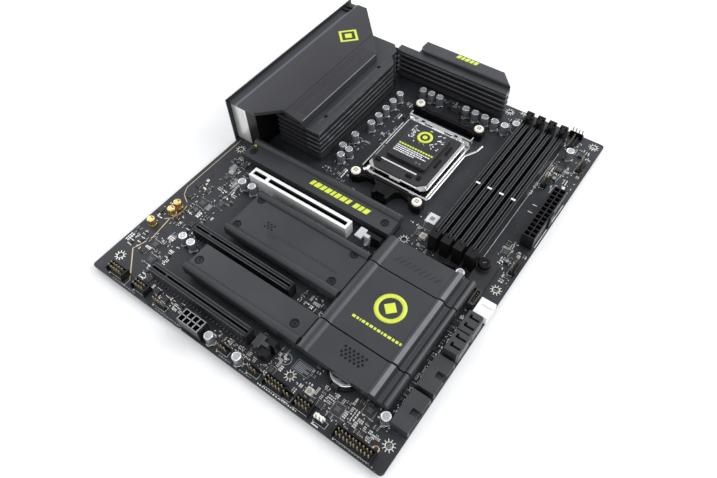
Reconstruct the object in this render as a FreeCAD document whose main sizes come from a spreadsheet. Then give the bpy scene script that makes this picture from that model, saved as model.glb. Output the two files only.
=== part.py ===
import FreeCAD, Part
import math
import os

import Sketcher
from FreeCAD import Placement, Rotation, Vector

# A full-size desktop motherboard, built as separate pieces in one assembly.
# Frame: origin at the middle of the board's underside, +X away from the rear port edge,
# +Y from the bottom edge to the top edge, +Z up out of the component side.
# Drawing coordinates start at the board's rear bottom corner, on the component side.

DIMENSIONS = {
    # board
    "board_width": 243.84, "board_length": 304.8, "board_thickness": 1.6, "board_corner": 2.5,
    "standoff_radius": 1.98, "bracket_hole_radius": 2.2,
    "standoff_rear": 10.16, "standoff_middle": 165.1, "standoff_front": 237.49,
    "standoff_low": 16.51, "standoff_mid": 140.97, "standoff_high": 298.45, "standoff_top_rear": 33.02,
    # rear ports
    "shield_thickness": 1.0, "shield_length": 158.75, "shield_height": 44.2, "port_proud": 0.5,
    "port_gap": 0.3, "port_depth": 24.0, "port_floor": 0.3,
    "button_side": 5.0, "button_travel": 1.5, "button_length": 7.0, "button_clearance": 0.35,
    # cover
    "cover_top": 40.0, "cover_wall": 1.8, "cover_lip_low": 36.5, "cover_foot": 0.5,
    # power stage heatsinks
    "sink_foot": 3.0, "sink_left_top": 31.0, "sink_front_top": 28.0, "sink_panel_rise": 3.0,
    "fin_gap": 2.7, "fin_pitch": 4.6, "fin_depth": 6.0, "fin_count": 5, "fin_first": 7.0,
    "inductor_side": 7.0, "inductor_height": 5.6, "transistor_height": 0.9,
    # processor socket
    "cooler_pitch_x": 54.0, "cooler_pitch_y": 90.0, "socket_x": 130.6, "socket_y": 213.4,
    "socket_width": 47.0, "socket_length": 54.0, "socket_height": 3.0, "package_side": 40.4,
    "plate_thickness": 1.2, "plate_low": 4.6, "lever_radius": 1.1, "hinge_clearance": 0.08,
    "cap_height": 4.2, "bracket_height": 7.5, "screw_head_radius": 3.4, "screw_shaft_radius": 1.75,
    "backplate_thickness": 2.6,
    # memory slots
    "dimm_pitch": 9.35, "dimm_first_x": 185.7, "dimm_near": 143.5, "dimm_width": 6.6,
    "dimm_length": 146.0, "dimm_height": 12.0, "dimm_tower_height": 16.5, "dimm_tower_depth": 8.0,
    "dimm_groove": 1.6, "dimm_groove_depth": 8.0, "dimm_latch_width": 2.4, "dimm_latch_slot": 3.2,
    # expansion slots
    "slot_width": 7.0, "slot_height": 11.2, "slot_groove": 1.8, "slot_groove_depth": 8.5,
    "slot_start": 43.0, "slot_end": 131.0, "slot_key": 56.5, "armour_wall": 0.6,
    "slot_pitch": 20.32,
    # storage and chipset heatsinks
    "strip_foot": 4.5, "strip_top": 10.6, "ridge_top": 13.0, "ridge_width": 6.0,
    "chipset_foot": 6.2, "chipset_top": 12.0, "chipset_ridge": 13.6,
    "screw_ring": 2.6, "screw_ring_depth": 1.4, "small_head_radius": 2.1,
    # capacitors, cell and connectors
    "can_radius": 3.15, "can_height": 8.5, "can_groove": 0.35, "can_groove_low": 1.3,
    "gold_can_radius": 3.0, "gold_can_height": 6.5,
    "cell_radius": 10.0, "cell_height": 3.2, "cell_floor": 1.4, "holder_wall": 1.5,
    "power_pitch": 4.2, "power_cell": 3.4, "power_height": 12.5, "power_depth": 9.5,
    "pin_pitch": 2.54, "pin_side": 0.64, "pin_height": 6.0, "pin_base_height": 2.5,
    # slot release
    "release_radius": 4.2, "release_collar": 5.3, "release_top": 8.2, "release_foot": 3.4,
    "release_travel": 2.4, "release_base_height": 3.2, "release_collar_height": 5.0,
}

doc = FreeCAD.newDocument("motherboard")
sheet = doc.addObject("Spreadsheet::Sheet", "Dims")
for row, (alias, value) in enumerate(DIMENSIONS.items(), start=1):
    sheet.set(f"A{row}", alias)
    sheet.set(f"B{row}", str(value))
    sheet.setAlias(f"B{row}", alias)
doc.recompute()

SUB_PARTS = []
CUTS = []
THROUGH = 60.0


def size(alias):
    """Value of one driving dimension; a plain number passes through."""
    return float(sheet.get(alias)) if isinstance(alias, str) else float(alias)


def on_board(x, y, z=0.0):
    """Point given from the board's rear bottom corner and component side, in the part's frame."""
    return Vector(x - size("board_width") / 2, y - size("board_length") / 2,
                  z + size("board_thickness"))


def rect(x, y, width, depth):
    """Rectangle from its low corner."""
    return ("rect", x, y, width, depth)


def centred(x, y, width, depth):
    """Rectangle about its middle, with plain sizes."""
    return ("rect", x - size(width) / 2, y - size(depth) / 2, width, depth)


def circle(x, y, radius):
    return ("circle", x, y, radius)


def profile(*points):
    """Closed outline. A point is (x, y), or (x, y, mid_x, mid_y) where an arc leads to it."""
    return ("profile", points)


def block(x0, x1, y0, y1):
    """Rectangle from its limits."""
    return ("rect", x0, y0, x1 - x0, y1 - y0)


def fix_place(sketch, geometry, point, x, y):
    """Tie a sketch point to the origin."""
    for kind, value, axis in (("DistanceX", x, -2), ("DistanceY", y, -1)):
        if abs(value) < 1e-9:
            sketch.addConstraint(Sketcher.Constraint("PointOnObject", geometry, point, axis))
        else:
            sketch.addConstraint(Sketcher.Constraint(kind, -1, 1, geometry, point, value))


def bind_size(sketch, index, alias):
    sketch.setExpression(f"Constraints[{index}]", f"Dims.{alias}")


def draw_rectangle(sketch, x, y, width, depth):
    """Rectangle; it is constrained where a size is a driving dimension."""
    w, d = size(width), size(depth)
    corners = [Vector(x, y, 0), Vector(x + w, y, 0), Vector(x + w, y + d, 0), Vector(x, y + d, 0)]
    first = sketch.GeometryCount
    for start, end in zip(corners, corners[1:] + corners[:1]):
        sketch.addGeometry(Part.LineSegment(start, end))
    if not isinstance(width, str) and not isinstance(depth, str):
        return
    for side in range(4):
        following = first + (side + 1) % 4
        sketch.addConstraint(Sketcher.Constraint("Coincident", first + side, 2, following, 1))
        level = "Horizontal" if side % 2 == 0 else "Vertical"
        sketch.addConstraint(Sketcher.Constraint(level, first + side))
    fix_place(sketch, first, 1, x, y)
    for kind, line, value, alias in (("DistanceX", first, w, width), ("DistanceY", first + 1, d, depth)):
        index = sketch.addConstraint(Sketcher.Constraint(kind, line, 1, line, 2, value))
        if isinstance(alias, str):
            bind_size(sketch, index, alias)


def draw_circle(sketch, x, y, radius):
    geometry = sketch.addGeometry(Part.Circle(Vector(x, y, 0), Vector(0, 0, 1), size(radius)))
    if isinstance(radius, str):
        fix_place(sketch, geometry, 3, x, y)
        index = sketch.addConstraint(Sketcher.Constraint("Radius", geometry, size(radius)))
        bind_size(sketch, index, radius)


def draw_profile(sketch, points):
    """Lines and three-point arcs round a closed outline."""
    previous = points[-1]
    for point in points:
        start = Vector(previous[0], previous[1], 0)
        end = Vector(point[0], point[1], 0)
        if len(point) == 4:
            sketch.addGeometry(Part.Arc(start, Vector(point[2], point[3], 0), end))
        else:
            sketch.addGeometry(Part.LineSegment(start, end))
        previous = point


DRAW = {"rect": draw_rectangle, "circle": draw_circle, "profile": draw_profile}
PLANES = {"XY": "XY_Plane", "XZ": "XZ_Plane", "YZ": "YZ_Plane"}


class Piece:
    """One solid sub-part. Every pad and cut runs towards its plane's positive axis."""

    def __init__(self, label, x=0.0, y=0.0, z=0.0):
        self.body = doc.addObject("PartDesign::Body", label)
        self.body.Label = label
        self.body.Placement = Placement(on_board(x, y, z), Rotation())
        SUB_PARTS.append(self.body)

    def sketch(self, outlines, plane, offset):
        support = [f for f in self.body.Origin.OriginFeatures if f.Role == PLANES[plane]][0]
        sketch = self.body.newObject("Sketcher::SketchObject", f"{self.body.Label}_sketch")
        sketch.AttachmentSupport = [(support, "")]
        sketch.MapMode = "FlatFace"
        side = -1 if plane == "XZ" else 1
        sketch.AttachmentOffset = Placement(Vector(0, 0, side * offset), Rotation())
        for outline in outlines:
            DRAW[outline[0]](sketch, *outline[1:])
        return sketch

    def feature(self, kind, outlines, length, plane, offset):
        feature = self.body.newObject(f"PartDesign::{kind}", f"{self.body.Label}_{kind.lower()}")
        feature.Profile = self.sketch(outlines, plane, offset)
        feature.Length = size(length)
        if isinstance(length, str):
            feature.setExpression("Length", f"Dims.{length}")
        self.body.Tip = feature
        return feature

    def pad(self, outlines, length, plane="XY", offset=0.0):
        feature = self.feature("Pad", outlines, length, plane, offset)
        feature.Reversed = plane == "XZ"
        return self

    def cut(self, outlines, length, plane="XY", offset=0.0):
        before = self.body.Tip
        feature = self.feature("Pocket", outlines, length, plane, offset)
        feature.Reversed = plane != "XZ"
        CUTS.append((before, feature))
        return self

    def dress(self, kind, amount, chosen):
        """Fillet or chamfer the edges of the tip that a test picks."""
        doc.recompute()
        base = self.body.Tip
        names = [f"Edge{i}" for i, edge in enumerate(base.Shape.Edges, start=1) if chosen(edge)]
        feature = self.body.newObject(f"PartDesign::{kind}", f"{self.body.Label}_{kind.lower()}")
        feature.Base = (base, names)
        measure = "Radius" if kind == "Fillet" else "Size"
        setattr(feature, measure, size(amount))
        if isinstance(amount, str):
            feature.setExpression(measure, f"Dims.{amount}")
        self.body.Tip = feature
        return self


def runs_along(edge, axis):
    """True for a straight edge parallel to a unit axis."""
    if len(edge.Vertexes) != 2 or edge.Curve.TypeId != "Part::GeomLine":
        return False
    direction = edge.Vertexes[1].Point - edge.Vertexes[0].Point
    return abs(direction.normalize().dot(axis)) > 0.999


X_AXIS, Y_AXIS, Z_AXIS = Vector(1, 0, 0), Vector(0, 1, 0), Vector(0, 0, 1)


def add_shape(label, shape, position=Vector(0, 0, 0)):
    """A sub-part whose form has no sketch, such as a bent wire."""
    feature = doc.addObject("Part::Feature", label)
    feature.Label = label
    feature.Shape = shape
    feature.Placement = Placement(position, Rotation())
    SUB_PARTS.append(feature)
    return feature


# ---------------------------------------------------------------- board

def standoff_points():
    """The nine mounting holes of a full-size board."""
    rear, middle, front = size("standoff_rear"), size("standoff_middle"), size("standoff_front")
    low, mid, high = size("standoff_low"), size("standoff_mid"), size("standoff_high")
    lower = [(x, y) for x in (rear, middle, front) for y in (low, mid)]
    return lower + [(size("standoff_top_rear"), high), (middle, high), (front, high)]


def cooler_points():
    """The four bracket screws around the processor socket."""
    half_x, half_y = size("cooler_pitch_x") / 2, size("cooler_pitch_y") / 2
    return [(size("socket_x") + sx * half_x, size("socket_y") + sy * half_y)
            for sx in (-1, 1) for sy in (-1, 1)]


def circuit_board():
    board = Piece("pcb", z=-size("board_thickness"))
    board.pad([rect(0, 0, "board_width", "board_length")], "board_thickness")
    board.dress("Fillet", "board_corner", lambda edge: runs_along(edge, Z_AXIS))
    board.cut([circle(x, y, "standoff_radius") for x, y in standoff_points()], "board_thickness")
    board.cut([circle(x, y, "bracket_hole_radius") for x, y in cooler_points()], "board_thickness")


# ---------------------------------------------------------------- rear ports

PORT_BLOCKS = {
    # name: (low Y, high Y, low Z, high Z) of each metal block behind the shield
    "audio": (151.0, 176.0, 0.3, 36.0),
    "antenna": (180.0, 191.0, 3.0, 33.0),
    "lan": (195.0, 212.0, 0.3, 32.0),
    "usb_near": (216.0, 231.5, 0.3, 30.5),
    "usb_far": (236.0, 251.5, 0.3, 30.5),
    "video": (255.5, 272.0, 0.3, 17.0),
}
PORT_FACE = -2.0
SHIELD_FACE = -1.5
SHIELD_NEAR, SHIELD_LOW = 147.0, -3.6
BUTTON_PLACES = {"settings_button": (280.0, 14.0), "firmware_button": (292.0, 14.0)}
ANTENNA_HEIGHTS = (11.0, 26.0)
JACK_OUTER, JACK_INNER, JACK_PIN = 3.05, 2.2, 0.6
JACK_PROUD, JACK_BORE = 8.0, 5.0
USB_WIDTH, USB_OPENING = 13.1, 5.6
TONGUE_WIDTH, USB_TONGUE = 10.6, 1.8
USB_DEPTH, TONGUE_SETBACK = 10.0, 1.5
USB_HEIGHTS = (5.4, 12.6, 19.8, 26.6)
VIDEO_HEIGHTS = (4.8, 12.2)
VIDEO_OPENING, VIDEO_TONGUE = (14.0, 4.6), (11.0, 1.4)


def port_middle(name):
    return (PORT_BLOCKS[name][0] + PORT_BLOCKS[name][1]) / 2


def rear_shield():
    """Pressed plate that fills the rear aperture of a case."""
    shield = Piece("io_shield")
    shield.pad([rect(SHIELD_NEAR, SHIELD_LOW, "shield_length", "shield_height")], "shield_thickness",
               "YZ", SHIELD_FACE)
    gap = size("port_gap")
    holes = [block(y0 - gap, y1 + gap, z0 - gap, z1 + gap)
             for name, (y0, y1, z0, z1) in PORT_BLOCKS.items() if name != "antenna"]
    holes += [circle(port_middle("antenna"), z, JACK_OUTER + gap) for z in ANTENNA_HEIGHTS]
    side = size("button_side") + 2 * size("button_clearance")
    holes += [centred(y, z, side, side) for y, z in BUTTON_PLACES.values()]
    shield.cut(holes, size("shield_thickness") + 1.0, "YZ", SHIELD_FACE - 0.5)


def usb_openings(middle, heights):
    """Outlines of stacked openings in one port block."""
    return [centred(middle, z, USB_WIDTH, USB_OPENING) for z in heights]


def usb_tongues(middle, heights):
    """Outlines of the contact tongues that stand in those openings."""
    return [centred(middle, z, TONGUE_WIDTH, USB_TONGUE) for z in heights]


def usb_and_video_ports():
    """Two blocks of stacked openings and one of two video openings."""
    ports = Piece("usb_and_video_ports")
    names = ("usb_near", "usb_far", "video")
    ports.pad([block(*PORT_BLOCKS[name]) for name in names], "port_depth", "YZ", PORT_FACE)
    tongues = []
    for name in ("usb_near", "usb_far"):
        ports.cut(usb_openings(port_middle(name), USB_HEIGHTS), USB_DEPTH, "YZ", PORT_FACE)
        tongues += usb_tongues(port_middle(name), USB_HEIGHTS)
    video = port_middle("video")
    ports.cut([centred(video, z, *VIDEO_OPENING) for z in VIDEO_HEIGHTS], USB_DEPTH, "YZ", PORT_FACE)
    tongues += [centred(video, z, *VIDEO_TONGUE) for z in VIDEO_HEIGHTS]
    ports.pad(tongues, USB_DEPTH - TONGUE_SETBACK, "YZ", PORT_FACE + TONGUE_SETBACK)


def lan_port():
    """Network jack over two stacked openings."""
    lan = Piece("lan_port")
    middle = port_middle("lan")
    jack_half, jack_low, jack_high, jack_depth = 5.9, 19.5, 28.0, 14.0
    clip_half, clip_high, clip_depth = 3.2, 29.8, 9.0
    lan.pad([block(*PORT_BLOCKS["lan"])], "port_depth", "YZ", PORT_FACE)
    lan.cut([block(middle - jack_half, middle + jack_half, jack_low, jack_high)], jack_depth, "YZ", PORT_FACE)
    lan.cut([block(middle - clip_half, middle + clip_half, jack_high, clip_high)], clip_depth,
            "YZ", PORT_FACE)
    heights = USB_HEIGHTS[:2]
    lan.cut(usb_openings(middle, heights), USB_DEPTH, "YZ", PORT_FACE)
    lan.pad(usb_tongues(middle, heights), USB_DEPTH - TONGUE_SETBACK, "YZ", PORT_FACE + TONGUE_SETBACK)


def antenna_jacks():
    """Two threaded aerial jacks on a bracket behind the shield."""
    middle, bracket_depth = port_middle("antenna"), 9.0
    jacks = Piece("antenna_jacks")
    jacks.pad([block(*PORT_BLOCKS["antenna"])], bracket_depth, "YZ", 0.0)
    jacks.pad([circle(middle, z, JACK_OUTER) for z in ANTENNA_HEIGHTS], JACK_PROUD, "YZ", -JACK_PROUD)
    jacks.cut([circle(middle, z, JACK_INNER) for z in ANTENNA_HEIGHTS], JACK_BORE, "YZ", -JACK_PROUD)
    jacks.pad([circle(middle, z, JACK_PIN) for z in ANTENNA_HEIGHTS], JACK_BORE, "YZ", -JACK_PROUD)


def audio_jack_block():
    """Shielded block of round jacks and one optical socket, two by three."""
    y0, y1 = PORT_BLOCKS["audio"][:2]
    margin, rows = 6.5, (6.5, 18.0, 29.5)
    recess, recess_depth, collar, bore, bore_depth = 4.2, 1.0, 3.0, 1.8, 14.0
    optical_side, optical_depth, deeper = 8.0, 4.0, 2.0
    audio = Piece("audio_jack_block")
    audio.pad([block(*PORT_BLOCKS["audio"])], size("port_depth") + deeper, "YZ", PORT_FACE)
    columns = (y0 + margin, y1 - margin)
    round_places = [(y, z) for y in columns for z in rows][:-1]
    audio.cut([circle(y, z, recess) for y, z in round_places], recess_depth, "YZ", PORT_FACE)
    audio.pad([circle(y, z, collar) for y, z in round_places], recess_depth, "YZ", PORT_FACE)
    audio.cut([circle(y, z, bore) for y, z in round_places], bore_depth, "YZ", PORT_FACE)
    audio.cut([centred(columns[1], rows[2], optical_side, optical_side)], optical_depth, "YZ", PORT_FACE)


def rear_buttons():
    """Two push buttons in the shield and the switches that they press."""
    side, length = size("button_side"), size("button_length")
    for label, (y, z) in BUTTON_PLACES.items():
        button = Piece(label, PORT_FACE - 1.0, y, z)
        button.pad([centred(0, 0, "button_side", "button_side")], "button_length", "YZ")
        button.dress("Chamfer", 0.5, lambda edge: edge.BoundBox.XMax < 0.01)
    switches = Piece("button_switches")
    face = PORT_FACE - 1.0 + length + size("button_travel") + 0.3
    switches.pad([centred(y, z, side + 2, side + 2) for y, z in BUTTON_PLACES.values()], 5.0, "YZ", face)
    switches.pad([block(y - 3.5, y + 3.5, 0.0, z - side / 2) for y, z in BUTTON_PLACES.values()],
                 3.0, "YZ", face + 2.0)


# ---------------------------------------------------------------- cover and power stage

# X and Y limits of the two heatsinks; the left one's far end steps back beside the top one
SINK_LEFT = (32.0, 72.6, 165.6, 285.0)
SINK_LEFT_STEP = (66.0, 264.5)
SINK_TOP = (62.4, 164.0, 284.5, 304.0)
TUNNEL_HEIGHT = 6.6


def port_cover():
    """Shell over the rear ports: flat top, sloped lip and one far wall, open at the near end."""
    top, wall = size("cover_top"), size("cover_wall")
    foot, lip = size("cover_foot"), size("cover_lip_low")
    near, far, outer, crease = 149.0, 303.0, 59.0, 43.5
    rear, band_start, band_end, band_drop = -0.3, 6.5, 9.5, 1.2
    corner_x, diagonal_x, diagonal_y = 26.0, 41.0, 163.6
    far_x, far_y, far_inner = 18.0, 260.0, 273.0
    sheet, lip_sheet, over = 2.8, 1.6, 1.0
    cover = Piece("io_cover")
    cover.pad([profile((rear, foot), (rear, top - band_drop), (band_start, top - band_drop),
                       (band_end, top), (crease, top), (outer, lip), (outer, foot))],
              far - near, "XZ", near)
    cover.cut([profile((corner_x, near - over), (outer + over, near - over),
                       (outer + over, diagonal_y), (diagonal_x, diagonal_y), (corner_x, near))],
              THROUGH, "XY", -over)
    cover.cut([profile((far_x, far), (outer, far_y), (outer + over, far_y), (outer + over, far + over),
                       (far_x, far + over))], THROUGH, "XY", -over)
    inner = profile((rear - over, near - over), (crease, near - over), (crease, far_inner),
                    (far_x - 0.8, far - wall), (rear - over, far - wall))
    cover.cut([inner], top - sheet + over, "XY", -over)
    lip_room = profile((crease - 0.5, near), (outer - wall, near), (outer - wall, far_y - 0.8),
                       (crease - 0.5, far_inner + 0.5))
    cover.cut([lip_room], lip - lip_sheet + over, "XY", -over)
    clear_x, clear_far = SINK_LEFT[0] - 1.5, SINK_LEFT[3] + 1.5
    cover.cut([block(clear_x, outer + over, near - over, clear_far)],
              size("sink_left_top") + 0.4 + over, "XY", -over)


def fin_levels():
    return [size("fin_first") + i * size("fin_pitch") for i in range(int(size("fin_count")))]


def left_heatsink():
    """Finned block beside the ports; the fins face the socket and the near end."""
    x0, x1, y0, y1 = SINK_LEFT
    step_x, step_y = SINK_LEFT_STEP
    foot, top, depth = size("sink_foot"), size("sink_left_top"), size("fin_depth")
    chamfer, tunnel_x, tunnel_end = 6.5, (46.0, 62.0), 4.0
    hole_x, holes_y, hole_radius, hole_depth = 65.4, (183.6, 253.3), 1.4, 3.0
    sink = Piece("vrm_heatsink_left")
    sink.pad([profile((x0, y0), (x1, y0), (x1, step_y), (step_x, step_y + chamfer),
                      (step_x, y1 - chamfer), (step_x - chamfer, y1), (x0, y1))],
             top - foot, "XY", foot)
    sink.cut([block(*tunnel_x, y0 + tunnel_end, step_y)], TUNNEL_HEIGHT, "XY", foot)
    gap = profile((x0 - 1, y0 - 1), (x1 + 1, y0 - 1), (x1 + 1, y1 + 1), (step_x - depth, y1 + 1),
                  (step_x - depth, step_y), (x1 - depth, step_y - chamfer), (x1 - depth, y0 + depth),
                  (x0 - 1, y0 + depth))
    for level in fin_levels():
        sink.cut([gap], "fin_gap", "XY", level)
    sink.cut([circle(hole_x, y, hole_radius) for y in holes_y], hole_depth, "XY", top - hole_depth)


def top_heatsink():
    """Finned block along the top edge with a raised panel behind its front strip."""
    x0, x1, y0, y1 = SINK_TOP
    foot, front_top, depth = size("sink_foot"), size("sink_front_top"), size("fin_depth") - 1.0
    panel_x, panel_y, corner_x, corner_y = 80.0, 291.5, 152.0, 291.0
    slant, tunnel_x, tunnel_y, edge_chamfer = 4.0, (86.0, 158.0), (6.2, 14.2), 0.8
    sink = Piece("vrm_heatsink_top")
    sink.pad([profile((x0, y0), (x1, y0), (x1, corner_y), (corner_x, y1), (panel_x, y1),
                      (panel_x, panel_y), (x0, panel_y))], front_top - foot, "XY", foot)
    sink.pad([profile((panel_x + slant, panel_y), (x1 - 0.5, panel_y), (corner_x, y1), (panel_x, y1),
                      (panel_x, panel_y + slant))],
             "sink_panel_rise", "XY", front_top)
    sink.cut([block(*tunnel_x, y0 + tunnel_y[0], y0 + tunnel_y[1])], TUNNEL_HEIGHT, "XY", foot)
    gap = profile((x0 - 1, y0 - 1), (x1 + 1, y0 - 1), (x1 + 1, y1 + 1), (x1 - depth, y1 + 1),
                  (x1 - depth, y0 + depth), (x0 - 1, y0 + depth))
    for level in fin_levels():
        if level + size("fin_gap") < front_top:
            sink.cut([gap], "fin_gap", "XY", level)
    panel_top = front_top + size("sink_panel_rise")
    sink.dress("Chamfer", edge_chamfer, lambda edge: edge.BoundBox.ZMin > panel_top - 0.01)


PHASES = 7
LEFT_PHASES = [177.0 + 12.6 * i for i in range(PHASES)]
TOP_PHASES = [92.0 + 9.6 * i for i in range(PHASES)]


def power_stage():
    """Inductors, power transistors and the pads between them and the heatsinks."""
    left_row_x, top_row_y = 54.0, 294.6
    inductors = Piece("vrm_inductors")
    places = [(left_row_x, y) for y in LEFT_PHASES] + [(x, top_row_y) for x in TOP_PHASES]
    inductors.pad([centred(x, y, size("inductor_side"), size("inductor_side")) for x, y in places],
                  "inductor_height")
    pads = Piece("thermal_pads")
    foot, chip_top = size("sink_foot"), size("transistor_height")
    pads.pad([block(35.0, 43.0, 170.0, 266.0), block(88.0, 156.0, 299.2, 303.2)],
             foot - chip_top, "XY", chip_top)
    inductor_top = size("inductor_height")
    pads.pad([block(49.5, 58.5, 171.0, 263.0), block(88.0, 156.0, 291.2, 298.2)],
             foot + TUNNEL_HEIGHT - inductor_top, "XY", inductor_top)
    strip_foot, drive_pad = size("strip_foot"), 1.2
    pads.pad([block(36.0, 120.0, 134.0, 145.0), block(75.0, 140.0, 80.0, 103.0),
              block(75.0, 140.0, 38.0, 49.0)], drive_pad, "XY", strip_foot - drive_pad)
    chipset_low = CHIPSET_CARRIER + CHIPSET_DIE
    pads.pad([block(183.0, 203.0, 72.0, 92.0)], size("chipset_foot") - chipset_low, "XY", chipset_low)


CHIPSET_PLACE = (193.0, 82.0)
CHIPSET_CARRIER, CHIPSET_DIE = 1.4, 2.0
FLAT_PACKS = (
    # (X, Y, side) of each square chip
    (201.4, 16.5, 7.0), (217.2, 26.7, 7.0), (153.4, 12.5, 4.6), (31.0, 26.5, 7.0), (24.0, 37.0, 6.0),
    (24.8, 83.5, 7.0), (37.0, 90.0, 5.0), (22.0, 112.0, 5.0), (226.0, 262.0, 6.0), (228.5, 171.0, 5.0),
    (171.5, 150.5, 5.0),
)


def integrated_circuits():
    """Power transistors, chipset and the flat-pack chips on the board."""
    chips = Piece("integrated_circuits")
    left_chip, top_chip, flat_height = (39.0, 5.0, 6.0), (301.2, 5.0, 4.0), 1.2
    chips.pad([centred(left_chip[0], y, *left_chip[1:]) for y in LEFT_PHASES]
              + [centred(x, top_chip[0], *top_chip[1:]) for x in TOP_PHASES], "transistor_height")
    for x, y, side in FLAT_PACKS:
        chips.pad([centred(x, y, side, side)], flat_height)
    chips.pad([centred(*CHIPSET_PLACE, 24.0, 24.0)], CHIPSET_CARRIER)
    chips.pad([centred(*CHIPSET_PLACE, 14.0, 14.0)], CHIPSET_DIE, "XY", CHIPSET_CARRIER)


# ---------------------------------------------------------------- processor socket

FRAME_HALF = (28.2, 35.6)
PLATE_HALF = (25.8, 33.6)
HINGE_Y = 32.6
HINGE_BORE, HINGE_PIN = 1.1, 0.95
LEVER_Y = -36.4
LEVER_Z = 3.6


def socket_housing():
    """Plastic housing with a recess whose floor carries the contact field."""
    width, length, height = size("socket_width"), size("socket_length"), size("socket_height")
    package, recess, island_side, island_rise = size("package_side"), 1.4, 10.0, 0.8
    housing = Piece("socket_body", size("socket_x"), size("socket_y"))
    housing.pad([centred(0, 0, "socket_width", "socket_length")], "socket_height")
    housing.cut([centred(0, 0, package, package)], recess, "XY", height - recess)
    housing.pad([centred(0, 0, island_side, island_side)], island_rise, "XY", height - recess)
    housing.dress("Chamfer", 1.5, lambda edge: runs_along(edge, Z_AXIS)
                  and abs(abs(edge.CenterOfMass.x) - width / 2) < 0.01
                  and abs(abs(edge.CenterOfMass.y) - length / 2) < 0.01)


def socket_frame():
    """Steel base frame round the housing, with ears for the hinge and the lever wire."""
    half_x, half_y = FRAME_HALF
    room_x, room_y = size("socket_width") / 2 + 0.3, size("socket_length") / 2 + 0.3
    low, thick, ear = 0.2, 1.0, 1.0
    rail_end, rail_height, ear_length, ear_height = 20.0, 4.8, 2.4, 6.2
    hook_width, hook_reach, hook_thick, hooks_x = 4.0, 3.2, 0.8, (-20.0, 16.0)
    top = low + thick
    frame = Piece("socket_frame", size("socket_x"), size("socket_y"))
    frame.pad([centred(0, 0, 2 * half_x, 2 * half_y)], thick, "XY", low)
    frame.cut([centred(0, 0, 2 * room_x, 2 * room_y)], 2.0)
    frame.pad([block(-half_x, -half_x + ear, -half_y, rail_end)], rail_height, "XY", top)
    frame.pad([block(x, x + ear, HINGE_Y - ear_length, half_y) for x in (-half_x, half_x - ear)],
              ear_height, "XY", top)
    for x in (-half_x, half_x - ear):
        frame.cut([circle(HINGE_Y, plate_hinge_z(), HINGE_BORE)], 2 * ear + 0.2, "YZ", x - 0.1)
    frame.pad([block(x, x + hook_width, -half_y - hook_reach, -half_y) for x in hooks_x],
              thick, "XY", low)
    frame.pad([block(x, x + hook_width, -half_y - hook_reach, -half_y - hook_reach + hook_thick)
               for x in hooks_x], LEVER_Z + size("lever_radius"), "XY", top)


def plate_hinge_z():
    return size("plate_low") + size("plate_thickness") / 2


def load_plate():
    """Steel plate that presses the processor down; it swings up about its far edge."""
    half_x, half_y = PLATE_HALF
    low, thick = size("plate_low"), size("plate_thickness")
    near, shoulder, far, tongue = -33.0, -29.5, 29.0, -34.4
    hinge_half, window, window_y = 20.0, (37.6, 46.0), -1.0
    slots_x, slots_y = ((-13.0, -5.0), (5.0, 13.0)), (24.0, 29.5)
    upstand, upstand_height, upstand_half = 1.0, 1.6, 27.0
    plate = Piece("socket_load_plate", size("socket_x"), size("socket_y"))
    plate.pad([profile((-half_x, shoulder), (-half_x + 4, near), (-5.0, near), (-4.0, tongue),
                       (4.0, tongue), (5.0, near), (half_x - 4, near), (half_x, shoulder),
                       (half_x, far), (hinge_half, far), (hinge_half, HINGE_Y),
                       (-hinge_half, HINGE_Y), (-hinge_half, far), (-half_x, far))],
              "plate_thickness", "XY", low)
    plate.cut([centred(0, window_y, *window)], thick + 1.0, "XY", low - 0.5)
    plate.cut([block(*span, *slots_y) for span in slots_x], thick + 1.0, "XY", low - 0.5)
    pin_end = FRAME_HALF[0] - 0.2
    plate.pad([circle(HINGE_Y, plate_hinge_z(), HINGE_PIN)], 2 * pin_end, "YZ", -pin_end)
    plate.pad([block(half_x - upstand, half_x, -upstand_half, upstand_half)], upstand_height,
              "XY", low + thick)


def arc_corner(before, corner, after, radius):
    """Start, middle and end of the arc that rounds one corner of a bent wire."""
    towards_before = (before - corner).normalize()
    towards_after = (after - corner).normalize()
    half_angle = towards_before.getAngle(towards_after) / 2
    reach = radius / math.tan(half_angle)
    bisector = (towards_before + towards_after).normalize()
    centre = corner + bisector * (radius / math.sin(half_angle))
    return (corner + towards_before * reach, centre - bisector * radius,
            corner + towards_after * reach)


def bent_rod(points, bends, radius):
    """Round wire along straight runs joined by tangent arcs."""
    edges = []
    start = points[0]
    for index, bend in enumerate(bends, start=1):
        first, middle, last = arc_corner(points[index - 1], points[index], points[index + 1], bend)
        edges.append(Part.LineSegment(start, first).toShape())
        edges.append(Part.Arc(first, middle, last).toShape())
        start = last
    edges.append(Part.LineSegment(start, points[-1]).toShape())
    direction = points[1] - points[0]
    ring = Part.Wire([Part.Circle(points[0], direction, radius).toShape()])
    return Part.Wire(edges).makePipeShell([ring], True, False)


def socket_lever():
    """Wire lever: its crank lies along the near edge and its arm along the front side."""
    radius = size("lever_radius")
    arm_x = 30.6
    points = [Vector(-24.0, LEVER_Y, LEVER_Z), Vector(arm_x, LEVER_Y, LEVER_Z),
              Vector(arm_x, 17.5, LEVER_Z), Vector(37.0, 24.0, LEVER_Z + 3.0),
              Vector(38.4, 30.2, LEVER_Z + 4.2)]
    rod = bent_rod(points, (2.6, 2.6, 2.0), radius)
    add_shape("socket_lever", rod, on_board(size("socket_x"), size("socket_y")))


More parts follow.
